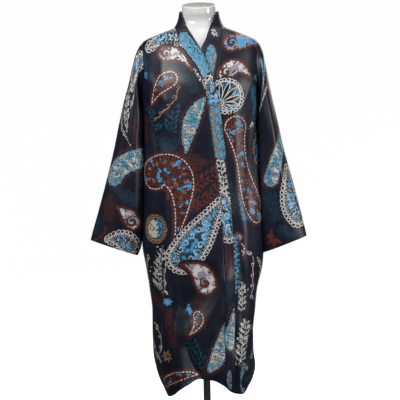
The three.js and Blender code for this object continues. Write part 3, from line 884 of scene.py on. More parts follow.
class Ink:
    """The motifs in their own millimetres. Each kind gives its layers, from the lowest: colour and mask.

    edge is the distance to the motif's outline, negative inside, and along the place along it. d is
    the same distance with the print's ragged edge. x and y lie beside and along the motif's spine.
    """

    def __init__(self, tree, x, y, edge, along, tint, randoms):
        self.broad, self.rough, self.fine, self.jag = broad, rough, fine, jag = randoms
        self.x = x + (broad - 0.5) * 14 + (rough - 0.5) * 5
        self.y = y + (rough - 0.5) * 9
        self.edge = edge + (rough - 0.5) * 4
        self.along = along + (broad - 0.5) * 16
        self.d = self.edge + (rough - 0.5) * 5 + (fine - 0.5) * 2 + jag
        self.tint = tint_ramp(tree, tint)
        self.r = hypot(x, y)
        self.angle = y.math("ARCTAN2", x)

    def beads(self, at, radius, period, line=None):
        """Dots, or loops if they have a line, in a row along the outline."""
        far = hypot(self.along.saw(period), self.edge - at) + self.jag * 0.35
        return far.below(radius) if line is None else far.line(radius, line)

    def rule(self, at, half):
        """A line that follows the outline."""
        return (self.edge + self.jag * 0.4).line(at, half)

    def dashes(self, at, half, period, share):
        return self.rule(at, half) * self.along.saw(period).abs().below(period * share)

    def curl(self, x, y, radius, pitch, line, hand=1):
        """A curl about a place."""
        r = hypot(x, y)
        turns = r / pitch + y.math("ARCTAN2", x) * (hand / (2 * math.pi))
        return turns.saw(1).abs().below(line / pitch, 0.09) * r.below(radius)

    def curls(self, depth, period, radius, pitch, line, hand=1):
        """A row of curls at a depth inside the outline."""
        return self.curl(self.along.saw(period), self.edge + depth, radius, pitch, line, hand)

    def petals(self, count, width, blunt=1, short=0):
        """How far a point is outside the petals of a flower about the motif's middle."""
        beside = (self.angle * (count / (2 * math.pi))).saw(1).abs() * (2 * math.pi / count) * self.r
        share = self.r / (self.r - self.edge - short).max(1)
        return beside - self.r * (1 - share**blunt) * width

    def comma(self):
        return [
            (BROWN, self.d.below(1.5)),
            (RUST, self.d.below(-1) * self.rough.below(0.53, 0.03)),
            (DARK, self.fine.line(0.5, 0.035, 0.015) * self.edge.below(-7)),
            (DARK, self.curls(17, 25, 11, 9, 2)),
            (DEEP_TEAL, self.edge.below(-10) * self.broad.below(0.46, 0.02)),
            (SKY, self.edge.below(-11) * self.broad.below(0.415, 0.015)),
            (RUST, self.curls(22, 27, 11, 9, 2.1, -1) * self.edge.below(-12)),
            (TAN, self.curls(28, 37, 8, 8, 1.2) * self.edge.below(-12)),
            (RUST, self.beads(3.4, 1.8, 8)),
            (WHITE, self.dashes(-5.5, 1.6, 11, 0.32)),
        ]

    def lace(self):
        return [
            (DARK, self.edge.below(4)),
            (WHITE, self.beads(5.6, 5.3, 12.5, 1.1)),
            (WHITE, self.rule(-1.4, 1)),
            (WHITE, self.beads(-5.8, 3.4, 12.5, 0.8)),
            (TEAL, self.d.below(-10)),
            (DEEP_TEAL, self.d.below(-10) * self.rough.below(0.46, 0.02)),
            (DARK, self.curls(18, 23, 11, 10, 1.8) * self.edge.below(-10)),
            (SKY, self.d.below(-11) * self.broad.below(0.485, 0.015)),
            (DEEP_TEAL, self.curls(34, 31, 12, 10, 1.6, -1) * self.edge.below(-20)),
            (WHITE, self.curls(21, 30, 12, 11, 1.35) * self.edge.below(-11)),
        ]

    def scroll(self):
        return [
            (BROWN, self.edge.below(11) * (self.fine + self.rough * 0.5).below(0.62, 0.02)),
            (DARK, self.d.below(2.2)),
            (PALE, self.d.below(-1)),
            (CREAM, self.d.below(-2.5) * self.broad.below(0.45, 0.015)),
            (AQUA, self.d.below(-6) * (1 - self.broad.below(0.55, 0.01))),
            (TEAL, (self.edge + self.jag * 0.3).line(-3.2, 0.9)),
            (TEAL, self.curls(13, 24, 10, 8.5, 1.7) * self.edge.below(-3)),
            (TEAL, self.curls(29, 27, 10, 9, 1.7, -1) * self.edge.below(-17)),
            (RUST, self.beads(6, 2.1, 8)),
        ]

    def eye(self):
        white = (self.d + (self.fine - 0.5) * 7).below(-9)
        return [
            (BROWN, self.d.below(1.5)),
            (RUST, self.d.below(-1) * self.fine.below(0.52, 0.03)),
            (LILAC, (self.d + (self.rough - 0.5) * 8).below(-7.5)),
            (self.tint, white * self.broad.below(0.5, 0.02)),
            (BROWN, self.curl(self.x + 2, self.y - 6, 17, 15, 5.2)),
            (RUST, self.curl(self.x + 2, self.y - 6, 15, 15, 2.2)),
            (BROWN, self.curls(12, 44, 9, 10, 2.6, -1) * self.edge.below(-6)),
            (TEAL, hypot(self.x - 1, self.y - 8).below(3.6, 1)),
        ]

    def rose(self):
        return [
            (DARK, self.edge.below(2)),
            (TAN, self.beads(-2.5, 4.6, 11, 1.1)),
            (TAN, self.rule(-8, 0.9)),
            (TEAL, self.d.below(-12)),
            (SKY, self.d.below(-14) * self.rough.below(0.5, 0.03)),
            (CREAM, (self.x + (self.rough - 0.5) * 16).below(3, 1) * self.d.below(-13.5)),
            (BROWN, hypot(self.x - 12, self.y + 2).line(5.5, 1.3)),
            (TEAL, self.curl(self.x + 9, self.y - 2, 11, 9, 1.6) * self.edge.below(-14)),
            (BROWN, self.curls(19, 34, 6, 6, 1.2, -1)),
        ]

    def fan(self):
        petal = self.petals(15, 0.17, 3, 13)
        inner = self.edge.below(-9)
        return [
            (DARK, self.edge.below(-1)),
            (TEAL, inner * self.broad.below(0.54, 0.03)),
            (SKY, inner * self.broad.below(0.48, 0.02) * self.fine.below(0.56, 0.03)),
            (DARK, petal.below(0.5) * inner),
            (WHITE, (petal + self.jag * 0.3).line(1, 1.1, 0.6) * self.edge.below(-12)),
            (WHITE, self.rule(-10, 0.9)),
            (WHITE, self.beads(-4.4, 4.8, 12.5, 1.2)),
            (WHITE, self.r.line(9, 1.2)),
        ]

    def ovals(self):
        far = hypot(self.x * 1.1 + 3, self.y.saw(27) * 0.66) + self.jag * 0.3
        loops = hypot(self.x - 11, self.y.saw(9)) + self.jag * 0.3
        inside = self.d.below(0)
        return [
            (TEAL, inside),
            (AQUA, inside * self.rough.below(0.52, 0.02)),
            (self.tint, far.below(9.8)),
            (DEEP_TEAL, far.below(8.2)),
            (SKY, far.below(6.6)),
            (self.tint, loops.line(4, 1) * inside),
        ]

    def zigzag(self):
        path = self.x + (self.y.saw(17).abs() - 4.2) * 1.3 + (self.rough - 0.5) * 16 + self.jag * 0.4
        inside = self.edge.below(0)
        return [
            (TEAL, self.d.below(0) * self.fine.below(0.5, 0.03)),
            (SKY, path.line(0, 2.4) * inside * self.fine.below(0.6, 0.02)),
            (WHITE, path.line(4.6, 1.3) * inside * self.broad.below(0.56, 0.02)),
        ]

    def leaf(self):
        veins = (self.y - self.x.abs() * 1.2).saw(10).abs().below(1.2)
        return [
            (self.tint, self.d.below(-0.5) * self.rough.below(0.56, 0.03)),
            (DARK, (veins + self.x.abs().below(1)).min(1) * self.d.below(-1.5)),
        ]

    def spray(self):
        x = self.x + (self.broad - 0.5) * 10
        lean = (self.y + (self.rough - 0.5) * 14 - x.abs() * 0.7).saw(17).abs()
        leaves = (lean * 0.8 + (x.abs() - 12).abs() * 0.2 + self.jag * 0.35).below(3.6)
        leaves = leaves - (lean.below(0.9) * self.rough.below(0.52, 0.03))
        stalk = (x + self.jag * 0.3).abs().below(1) * self.edge.below(-3)
        curl = self.curl(x.abs() - 15, self.y.saw(41), 8, 7.5, 1.3) * self.edge.below(2)
        return [(self.tint, (leaves.max(0) * self.d.below(1) + stalk + curl).min(1))]

    def specks(self):
        scribble = (self.rough * 0.7 + self.broad * 0.3).saw(0.1).abs().below(0.011, 0.006)
        patch = (self.fine + self.jag * 0.03).below(0.4, 0.02)
        torn = (self.edge + (self.rough - 0.5) * 60).below(-4, 4)
        return [(self.tint, (scribble + patch).min(1) * torn * 0.85)]

    def chain(self):
        path = self.x + (self.broad - 0.5) * 12
        return [(self.tint, (hypot(path, self.y.saw(12)) + self.jag * 0.3).line(4.7, 1.1))]

    def bloom(self):
        petal = self.petals(7, 0.85) + self.jag * 0.5 + (self.fine - 0.5) * 5 + (self.rough - 0.5) * 6
        return [
            (self.tint, petal.below(0) * self.edge.below(-0.5)),
            (DARK, (petal + self.r * 0.12).line(-1.2, 0.6)),
            (DARK, self.r.line(4, 1)),
        ]

    def vine(self):
        stem = (self.x + (self.y * 0.16).sin() * 2.2 + self.jag * 0.4).abs().below(1.3)
        curl = self.curl(self.x - 5.5, self.y.saw(34), 7, 7, 1.2)
        return [(self.tint, (stem + curl).min(1) * self.edge.below(4))]

    def spot(self):
        middle = (self.d + (self.fine - 0.5) * 12).below(-10)
        return [
            (self.tint, (self.d + (self.rough - 0.5) * 14).below(-3, 2)),
            (PALE, middle * self.fine.below(0.5, 0.03)),
        ]


def hypot(x, y):
    return (x**2 + y**2).math("SQRT")


def principled(name, roughness):
    material = bpy.data.materials.new(name)
    material.use_nodes = True
    shader = material.node_tree.nodes["Principled BSDF"]
    shader.inputs["Roughness"].default_value = roughness
    return material, material.node_tree, shader


def weave_bump(tree, shader, cloth, across, down, edge=None):
    """Satin's fine floats, faint slubs, and a stitched line beside the piece's edges."""
    float_width, float_length, stitch_length = 0.7, 2.2, 3.2
    turns = 2 * math.pi
    floats = (across * (turns / float_width)).sin() * 0.5
    floats = floats + (down * (turns / float_length) + across * 3).sin() * 0.5
    slub = noise(tree, cloth.outputs["Vector"], 0.35, 4)
    height = floats * 0.012 + slub * 0.1
    if edge is not None:
        stitches = (across + down).saw(stitch_length).abs().below(1.1, 0.3) * edge.line(STITCH_IN, 0.45, 0.3)
        height = height - edge.line(STITCH_IN, 1.6, 1.4) * 0.3 - stitches * 0.5 - edge.below(1.2, 1) * 0.5
    bump = tree.nodes.new("ShaderNodeBump")
    bump.inputs["Strength"].default_value = 0.5
    bump.inputs["Distance"].default_value = 1 * MM
    tree.links.new(height.socket, bump.inputs["Height"])
    tree.links.new(bump.outputs[0], shader.inputs["Normal"])


def make_satin():
    material, tree, shader = principled("printed satin", 0.4)
    colour, cloth, (across, down, edge) = print_colour(tree)
    tree.links.new(colour, shader.inputs["Base Color"])
    patchy = noise(tree, cloth.outputs["Vector"], 0.02, 2)
    tree.links.new((patchy * 0.12 + 0.36).socket, shader.inputs["Roughness"])
    shader.inputs["Specular IOR Level"].default_value = 0.42
    shader.inputs["Sheen Weight"].default_value = 0.03
    shader.inputs["Sheen Roughness"].default_value = 0.35
    weave_bump(tree, shader, cloth, across, down, edge)
    return material


def make_reverse():
    material, tree, shader = principled("satin reverse", 0.6)
    cloth, (across, down, _) = attribute(tree, "cloth")
    tone = noise(tree, cloth.outputs["Vector"], 0.05, 3)
    tinted(tree, shader, (30, 32, 46), (44, 44, 58), tone)
    weave_bump(tree, shader, cloth, across, down)
    return material


def make_gloss():
    material, tree, shader = principled("glossy shell", 0.16)
    place = tree.nodes.new("ShaderNodeTexCoord")
    cloudy = noise(tree, place.outputs["Object"], 9, 3)
    tinted(tree, shader, (226, 224, 223), (218, 216, 216), cloudy)
    tree.links.new((cloudy * 0.12 + 0.12).socket, shader.inputs["Roughness"])
    shader.inputs["Coat Weight"].default_value = 0.4
    shader.inputs["Coat Roughness"].default_value = 0.08
    return material


def make_steel():
    material, tree, shader = principled("brushed steel", 0.3)
    shader.inputs["Metallic"].default_value = 1
    place = tree.nodes.new("ShaderNodeTexCoord")
    stretch = tree.nodes.new("ShaderNodeMapping")
    stretch.inputs["Scale"].default_value = (1, 1, 40)
    tree.links.new(place.outputs["Object"], stretch.inputs["Vector"])
    grain = noise(tree, stretch.outputs[0], 60, 3)
    tinted(tree, shader, (138, 140, 144), (166, 168, 171), grain)
    tree.links.new((grain * 0.2 + 0.2).socket, shader.inputs["Roughness"])
    return material


satin = make_satin()
satin_reverse = make_reverse()
gloss = make_gloss()
steel = make_steel()


# The coat's pieces


def arc_across(angle, z):
    """How far a point lies along its section from the middle of the front."""
    sample = np.linspace(-math.pi, math.pi, 721)
    rows = []
    for a, height in zip(angle, z):
        mean = np.full(sample.shape, height.mean())
        x, y = outline(sample, width_at(sample, mean), depth_at(sample, mean), power(mean))
        far = np.concatenate([[0], np.cumsum(np.hypot(np.diff(x), np.diff(y)))])
        far -= np.interp(0, sample, far)
        rows.append(np.interp(np.where(a > math.pi, a - 2 * math.pi, a), sample, far))
        if a.max() > math.pi:
            rows[-1] = np.where(a > math.pi, rows[-1] + far[-1] - far[0], rows[-1])
    return np.array(rows)


def panel(name, start, end, layer):
    """A front or the back, between its angles at each row."""
    share = np.linspace(0, 1, PANEL_COLUMNS[name])
    angle = start[:, None] + (end - start)[:, None] * share[None]
    z = row_height(angle)
    return Cloth("coat." + name, cloth_point(angle, z, layer), arc_across(angle, z), z)


def band(name, edge, side, layer):
    """Half of the collar band, from the middle of the back round the neck and down a front edge."""
    cols = BAND_COLUMNS
    seam = meet(lambda z: angle_at(edge["seam"](z) - side * SEAM, z))
    seam_z = row_height(seam)
    free = np.where(in_skirt, meet(lambda z: angle_at(edge["edge"](z), z)), 0)
    free_z = np.where(in_skirt, row_height(free), edge["edge_z"](level_z))
    free = np.where(in_skirt, free, angle_at(edge["edge"](level_z), free_z))
    middle = side * (math.pi - SEAM / body["back"](BAND_BACK_TOP))
    share = np.arange(BAND_ROUND_ROWS) / BAND_ROUND_ROWS
    seam = np.concatenate([lerp(middle, seam[0], share), seam])
    seam_z = np.concatenate([lerp(NECK_SEAM, seam_z[0], share), seam_z])
    free = np.concatenate([lerp(middle, free[0], share), free])
    free_z = np.concatenate([lerp(BAND_BACK_TOP, free_z[0], smooth(share)), free_z])
    over = np.linspace(0, 1, cols) if side < 0 else np.linspace(1, 0, cols)
    angle = seam[:, None] + (free - seam)[:, None] * over
    z = seam_z[:, None] + (free_z - seam_z)[:, None] * over
    ahead, behind = cloth_point(angle, z, layer), cloth_point(angle, z, "single")
    grid = np.where(np.cos(angle)[..., None] > 0, ahead, behind)
    across = np.linalg.norm(grid - grid[:, :1] if side < 0 else grid - grid[:, -1:], axis=-1)
    down = -np.cumsum(np.concatenate([[0], np.linalg.norm(np.diff(grid[:, cols // 2], axis=0), axis=-1)]))
    return Cloth("coat." + name, grid, across, np.repeat(down[:, None], cols, 1), BAND_WALL)


def body_reach(side, y, z):
    """How far the body reaches to one side, at a distance from its middle and a height."""
    depth = np.where(y < 0, body["front"](z), body["back"](z))
    width = (body["right"] if side < 0 else body["left"])(z)
    return width * (1 - np.minimum(np.abs(y) / depth, 1) ** power(z)) ** (1 / power(z))


def sleeve(name, side):
    """A sleeve, from rings round it between the armhole and the cuff."""
    sides = SLEEVE_SIDES
    pick = "r" if side < 0 else "l"
    ring_at = {key: column(SLEEVE, key, "at") for key in SLEEVE[0] if key != "at"}
    turn = np.linspace(0, 2 * math.pi, sides, endpoint=False)
    sideways = side * np.sin(turn)
    reach = np.where(sideways < 0, ARMHOLE["front"], ARMHOLE["back"]) - SEAM
    z = ARMHOLE_MIDDLE + (ARMHOLE_HALF - SEAM) * np.cos(turn)
    y = sideways * reach
    armhole = np.stack([side * body_reach(side, y, z), y, z], -1)
    loops = []
    first = SLEEVE[0]["at"]
    for i in range(SLEEVE_RINGS + 1):
        at = lerp(first, 1, (i / SLEEVE_RINGS) ** SLEEVE_CROWD)
        out = np.array([side * ring_at["out_" + pick](at), 0, ring_at["out_z"](at)])
        inner = np.array([side * ring_at["in_" + pick](at), 0, ring_at["in_z"](at)])
        lift = np.zeros(sides)
        for fold in SLEEVE_FOLDS:
            away = np.degrees(turn) - fold["turn"] - fold["slant"] * (at - fold["start"])
            fade = smooth((at - fold["start"]) / 0.2) * smooth((fold["end"] - at) / 0.2 + 0.2)
            lift += fold["lift"] * fade * np.exp(-((away / fold["width"]) ** 2))
        points = out + (inner - out) * (0.5 - 0.5 * np.cos(turn))[:, None]
        across = np.where(sideways < 0, ring_at["front"](at), ring_at["back"](at)) + lift
        points[:, 1] = sideways * across + ring_at["y"](at)
        nearest = body_reach(side, points[:, 1], points[:, 2]) + SLEEVE_CLEAR
        past = (side * points[:, 0] - nearest) / SLEEVE_SOFT
        points[:, 0] = side * (nearest + SLEEVE_SOFT * np.logaddexp(0, past))
        loops.append(points)
    cap = [lerp(armhole, loops[0], i / CAP_RINGS) for i in range(CAP_RINGS)]
    grid = np.array(cap + loops)
    far = np.linalg.norm(np.diff(np.concatenate([grid, grid[:, :1]], 1), axis=1), axis=-1)
    across = np.concatenate([np.zeros((len(grid), 1)), np.cumsum(far, 1)[:, :-1]], 1)
    middle = sides // 4 if side < 0 else 3 * sides // 4
    across -= across[:, middle][:, None]
    down = -np.cumsum(np.concatenate([[0], np.linalg.norm(np.diff(grid[:, middle], axis=0), axis=-1)]))
    if side > 0:
        across = -across
    return Cloth("coat." + name, grid, across, np.repeat(down[:, None], sides, 1), tube=True)


right_seam = meet(lambda z: angle_at(right_edge["seam"](z) - SEAM, z))
left_seam = meet(lambda z: angle_at(left_edge["seam"](z) + SEAM, z))
pieces = {
    "right_front": panel("right_front", -front_side, right_seam, "upper"),
    "left_front": panel("left_front", left_seam, front_side, "under"),
    "back": panel("back", math.pi - back_side, math.pi + back_side, "single"),
    "right_sleeve": sleeve("right_sleeve", -1),
    "left_sleeve": sleeve("left_sleeve", 1),
    "right_band": band("right_band", right_edge, -1, "upper"),
    "left_band": band("left_band", left_edge, 1, "under"),
}

# Where the print's motifs lie, as seen from the front, or from behind for the back's own tables.
# tint picks white, tan, rust, sky, teal or pale for the kinds of one colour.
PRINT = {
    "right_front": table(MOTIF, [
        ("specks", -205, 1330, -180, 1320, -160, 1280, 24, 0, 4),
        ("spray", -92, 1064, -100, 1120, -84, 1176, 20, 0, 4),
        ("spray", -128, 1096, -136, 1130, -160, 1160, 17, 0, 4),
        ("specks", -120, 1070, -96, 1050, -60, 1064, 26, 0, 4),
        ("specks", -176, 1140, -172, 1110, -170, 1080, 15, 0, 2),
        ("specks", -46, 1026, -16, 1000, 14, 990, 28, 0, 2),
        ("spot", -42, 550, -42, 562, -42, 562, 20, 0, 3),
        ("spray", -84, 900, -30, 930, 44, 976, 25, 0, 2),
        ("spray", -40, 870, 0, 884, 40, 920, 18, 0, 2),
        ("chain", -70, 1356, -34, 1296, 18, 1238, 6, 0, 0),
        ("vine", -64, 1250, -70, 1184, -140, 1140, 5, 0, 1),
        ("leaf", -172, 1290, -168, 1280, -166, 1262, 9, -1, 3),
        ("bloom", -132, 722, -132, 740, -132, 740, 30, 0, 0),
        ("bloom", -158, 668, -158, 680, -158, 680, 22, 0, 0),
        ("spray", -140, 600, -150, 640, -132, 712, 27, 0, 0),
        ("vine", -120, 690, -126, 650, -120, 610, 8, 0, 0),
        ("chain", -176, 706, -186, 640, -152, 586, 5, 0, 0),
        ("specks", -162, 590, -146, 566, -126, 548, 22, 0, 2),
        ("specks", -112, 552, -108, 500, -104, 450, 16, 0, 2),
        ("chain", -170, 530, -182, 456, -146, 390, 5, 0, 0),
        ("vine", -158, 500, -134, 470, -142, 420, 7, 0, 0),
        ("bloom", -122, 405, -122, 420, -122, 420, 20, 0, 1),
        ("spray", -6, 380, -30, 400, -44, 446, 19, 0, 4),
        ("specks", -72, 306, -50, 312, -24, 322, 16, 0, 3),
        ("specks", -20, 570, -4, 540, -12, 500, 15, 0, 2),
        ("specks", -80, 1330, -40, 1250, -20, 1230, 16, 0, 4),
        ("spot", -118, 574, -118, 590, -118, 590, 15, 0, 3),
        ("lace", -66, 1388, -110, 1402, -160, 1360, 26, 4, 0),
        ("eye", -112, 1340, -60, 1350, -26, 1286, 24, 4, 0),
        ("comma", -94, 1262, -124, 1254, -152, 1186, 28, 5, 0),
        ("scroll", 16, 1206, -44, 1150, -48, 1028, 25, -1, 0),
        ("comma", -148, 974, -20, 1020, -86, 768, 54, 8, 0),
        ("rose", -149, 800, -149, 820, -149, 820, 43, 0, 0),
        ("lace", -66, 712, -16, 770, 66, 880, 42, 8, 0),
        ("eye", 4, 626, -6, 684, -72, 690, 35, 4, 0),
        ("comma", -24, 530, -8, 510, -54, 468, 18, 4, 0),
        ("scroll", 70, 508, 56, 400, -4, 350, 24, -1, 0),
        ("comma", -128, 318, -70, 356, -24, 344, 19, 5, 0),
    ]),
    "left_front": table(MOTIF, [
        ("spray", 150, 1124, 146, 1160, 156, 1198, 18, 0, 0),
        ("chain", 172, 1094, 142, 1020, 184, 954, 5, 0, 1),
        ("leaf", 178, 1078, 164, 1030, 182, 984, 13, -1, 3),
        ("specks", 132, 1010, 136, 970, 140, 930, 20, 0, 4),
        ("specks", 112, 890, 122, 870, 134, 840, 24, 0, 3),
        ("spot", 104, 770, 104, 790, 104, 790, 20, 0, 2),
        ("leaf", 166, 842, 172, 824, 166, 804, 9, -1, 0),
        ("chain", 134, 720, 188, 690, 156, 566, 6, 0, 0),
        ("vine", 152, 700, 150, 640, 146, 580, 7, 0, 0),
        ("bloom", 114, 598, 114, 620, 114, 620, 26, 0, 0),
        ("spray", 112, 550, 116, 580, 112, 620, 12, 0, 0),
        ("bloom", 118, 450, 118, 470, 118, 470, 27, 0, 0),
        ("spray", 106, 392, 116, 440, 124, 494, 22, 0, 0),
        ("chain", 146, 480, 158, 440, 140, 396, 5, 0, 5),
        ("leaf", 112, 384, 120, 330, 112, 274, 19, -1, 5),
        ("specks", 150, 360, 140, 340, 128, 320, 16, 0, 4),
        ("specks", 124, 1190, 130, 1160, 134, 1130, 14, 0, 4),
        ("leaf", 170, 1270, 166, 1240, 172, 1206, 9, -1, 3),
        ("specks", 160, 1230, 166, 1200, 168, 1150, 16, 0, 3),
        ("specks", 70, 960, 78, 900, 84, 860, 18, 0, 4),
        ("eye", 94, 1368, 150, 1402, 186, 1350, 27, 4, 3),
        ("eye", 76, 1274, 112, 1326, 162, 1250, 28, 4, 0),
        ("fan", 78, 1206, 98, 1226, 98, 1226, 56, 0, 0),
        ("comma", 106, 1106, 122, 960, 164, 842, 42, 36, 0),
        ("comma", 96, 742, 128, 752, 120, 706, 13, 3, 0),
        ("zigzag", 98, 770, 104, 680, 98, 610, 10, 0, 0),
    ]),
    "back": table(MOTIF, [
        ("specks", -150, 1330, -120, 1300, -90, 1260, 30, 0, 4),
        ("specks", 20, 1330, 40, 1280, 60, 1250, 28, 0, 4),
        ("specks", 130, 1180, 140, 1140, 150, 1100, 26, 0, 2),
        ("specks", -40, 1120, -20, 1080, 0, 1050, 30, 0, 4),
        ("specks", -160, 900, -150, 870, -140, 840, 26, 0, 4),
        ("specks", 40, 800, 60, 780, 90, 760, 30, 0, 2),
        ("specks", -60, 600, -40, 580, -10, 560, 30, 0, 3),
        ("specks", 120, 520, 120, 480, 110, 440, 26, 0, 4),
        ("spray", 60, 930, 20, 960, 0, 1010, 24, 0, 2),
        ("spray", -150, 1040, -110, 1060, -90, 1110, 22, 0, 0),
        ("spray", 132, 860, 140, 910, 130, 960, 22, 0, 0),
        ("spray", 0, 360, -20, 400, -30, 440, 20, 0, 4),
        ("spray", -150, 430, -140, 380, -120, 330, 18, 0, 1),
        ("chain", -170, 1180, -150, 1120, -170, 1060, 6, 0, 1),
        ("chain", 170, 1060, 150, 980, 176, 900, 6, 0, 0),
        ("chain", -150, 560, -166, 480, -130, 400, 6, 0, 0),
        ("vine", 60, 1180, 20, 1150, 10, 1100, 7, 0, 1),
        ("vine", 140, 640, 150, 580, 120, 520, 7, 0, 0),
        ("bloom", 140, 760, 140, 780, 140, 780, 30, 0, 0),
        ("bloom", -124, 700, -124, 720, -124, 720, 28, 0, 1),
        ("bloom", 96, 396, 96, 410, 96, 410, 26, 0, 0),
        ("leaf", -20, 1250, -30, 1210, -10, 1170, 15, -1, 4),
        ("leaf", 60, 660, 50, 630, 60, 590, 14, -1, 5),
        ("lace", 90, 1390, 20, 1402, -50, 1350, 27, 4, 0),
        ("eye", 130, 1330, 100, 1350, 50, 1300, 25, 4, 0),
        ("scroll", -140, 1296, -90, 1240, -110, 1140, 26, -1, 0),
        ("comma", 100, 1240, 56, 1160, 116, 1050, 38, 30, 0),
        ("fan", -60, 1190, -60, 1210, -60, 1210, 46, 0, 0),
        ("lace", -110, 960, -30, 980, 20, 1080, 38, 6, 0),
        ("rose", 96, 1000, 96, 1020, 96, 1020, 40, 0, 0),
        ("comma", -30, 850, 90, 900, 110, 780, 44, 8, 0),
        ("scroll", -126, 846, -60, 790, -70, 680, 28, -1, 0),
        ("eye", 20, 720, 0, 764, -46, 766, 28, 4, 0),
        ("lace", 96, 640, 30, 620, -20, 520, 34, 5, 0),
        ("comma", -110, 620, -50, 600, -90, 470, 32, 14, 0),
        ("scroll", 116, 546, 40, 500, 60, 396, 25, -1, 0),
        ("eye", -70, 370, -110, 380, -130, 340, 25, 4, 0),
        ("comma", 20, 330, 60, 352, 110, 330, 18, 5, 0),
    ]),
    "right_sleeve": table(MOTIF, [
        ("chain", -224, 1220, -258, 1150, -226, 1074, 6, 0, 0),
        ("vine", -210, 1204, -226, 1150, -214, 1096, 7, 0, 0),
        ("spray", -214, 1090, -236, 1150, -222, 1230, 14, 0, 0),
        ("specks", -204, 1140, -206, 1110, -206, 1080, 14, 0, 2),
        ("specks", -264, 920, -240, 900, -212, 890, 24, 0, 4),
        ("leaf", -300, 846, -318, 806, -342, 764, 19, -1, 2),
        ("specks", -290, 890, -290, 860, -292, 840, 20, 0, 2),
        ("specks", -330, 850, -336, 830, -340, 800, 18, 0, 4),
        ("lace", -192, 1318, -206, 1290, -212, 1246, 24, 4, 0),
        ("scroll", -276, 968, -236, 1030, -192, 1050, 33, 24, 0),
        ("eye", -220, 818, -240, 852, -268, 872, 27, 4, 0),
        ("lace", -232, 748, -262, 776, -296, 768, 24, 4, 0),
    ]),
    "left_sleeve": table(MOTIF, [
        ("leaf", 188, 1326, 194, 1290, 192, 1250, 14, -1, 3),
        ("chain", 200, 1310, 208, 1280, 206, 1240, 5, 0, 0),
        ("chain", 206, 1250, 216, 1190, 214, 1120, 5, 0, 2),
        ("specks", 222, 1160, 226, 1120, 232, 1090, 16, 0, 2),
        ("specks", 262, 1000, 270, 960, 280, 930, 20, 0, 4),
        ("bloom", 220, 762, 220, 780, 220, 780, 30, 0, 2),
        ("specks", 210, 890, 222, 850, 232, 820, 22, 0, 4),
        ("specks", 244, 790, 260, 780, 280, 776, 18, 0, 4),
        ("scroll", 212, 950, 232, 1040, 270, 1094, 27, 20, 0),
        ("lace", 296, 832, 262, 884, 264, 975, 28, 8, 0),
    ]),
    "right_band": table(MOTIF, [
        ("spray", 64, 930, 60, 965, 56, 1004, 12, 0, 0),
        ("specks", 66, 760, 72, 700, 74, 640, 16, 0, 2),
        ("specks", 74, 620, 76, 590, 76, 560, 16, 0, 4),
        ("leaf", 70, 360, 68, 320, 66, 290, 12, -1, 5),
        ("ovals", -50, 1376, -8, 1308, 34, 1246, 30, 0, 5),
        ("lace", 38, 1236, 44, 1200, 46, 1176, 30, 28, 0),
        ("ovals", 44, 1150, 48, 1100, 54, 1044, 30, 0, 1),
        ("lace", 66, 800, 62, 840, 56, 890, 34, 26, 0),
        ("scroll", 72, 440, 80, 490, 87, 552, 18, 2, 0),
    ]),
    "left_band": table(MOTIF, [
        ("bloom", 48, 1404, 48, 1412, 48, 1412, 16, 0, 0),
        ("ovals", 36, 1330, 28, 1306, 20, 1262, 26, 0, 1),
    ]),
}
PRINT_BEHIND = {
    "right_sleeve": table(MOTIF, [
        ("specks", -206, 1250, -220, 1210, -226, 1180, 20, 0, 4),
        ("specks", -250, 990, -240, 960, -220, 930, 20, 0, 2),
        ("vine", -230, 1080, -240, 1040, -246, 1000, 7, 0, 1),
        ("comma", -200, 1310, -210, 1260, -200, 1220, 22, 4, 0),
        ("lace", -232, 1130, -250, 1090, -214, 1050, 27, 4, 0),
        ("scroll", -300, 880, -250, 920, -216, 980, 28, 10, 0),
        ("eye", -230, 830, -250, 800, -290, 800, 27, 4, 0),
        ("leaf", -310, 830, -320, 800, -326, 776, 15, -1, 2),
    ]),
    "left_sleeve": table(MOTIF, [
        ("specks", 206, 1240, 216, 1200, 222, 1180, 20, 0, 2),
        ("vine", 226, 1070, 240, 1030, 240, 990, 7, 0, 0),
        ("spray", 210, 740, 230, 760, 260, 780, 16, 0, 4),
        ("scroll", 196, 1300, 204, 1250, 198, 1200, 22, -1, 0),
        ("comma", 224, 1120, 250, 1080, 214, 1040, 28, 6, 0),
        ("rose", 262, 940, 262, 960, 262, 960, 34, 0, 0),
        ("lace", 270, 800, 230, 830, 214, 890, 26, 5, 0),
    ]),
}
# Each piece is built with its motifs, placed as seen from the front or from behind, and takes its solid's
# place. Its area is worked out but not kept.
for name, piece in pieces.items():
    motifs = []
    seen = [(m, name != "back") for m in PRINT[name]] + [(m, False) for m in PRINT_BEHIND.get(name, [])]
    for m, front in seen:
        spots = [piece.place(m[part + "x"], m[part + "z"], front) for part in ("", "bend_", "end_")]
        motifs.append((m["kind"], *spots, m["radius"], m["tip"], m["tint"]))
    cloth = piece.build(motifs)
    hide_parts("coat_" + name)
    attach(cloth, "root")
    piece.area()


# The dress form and its stand


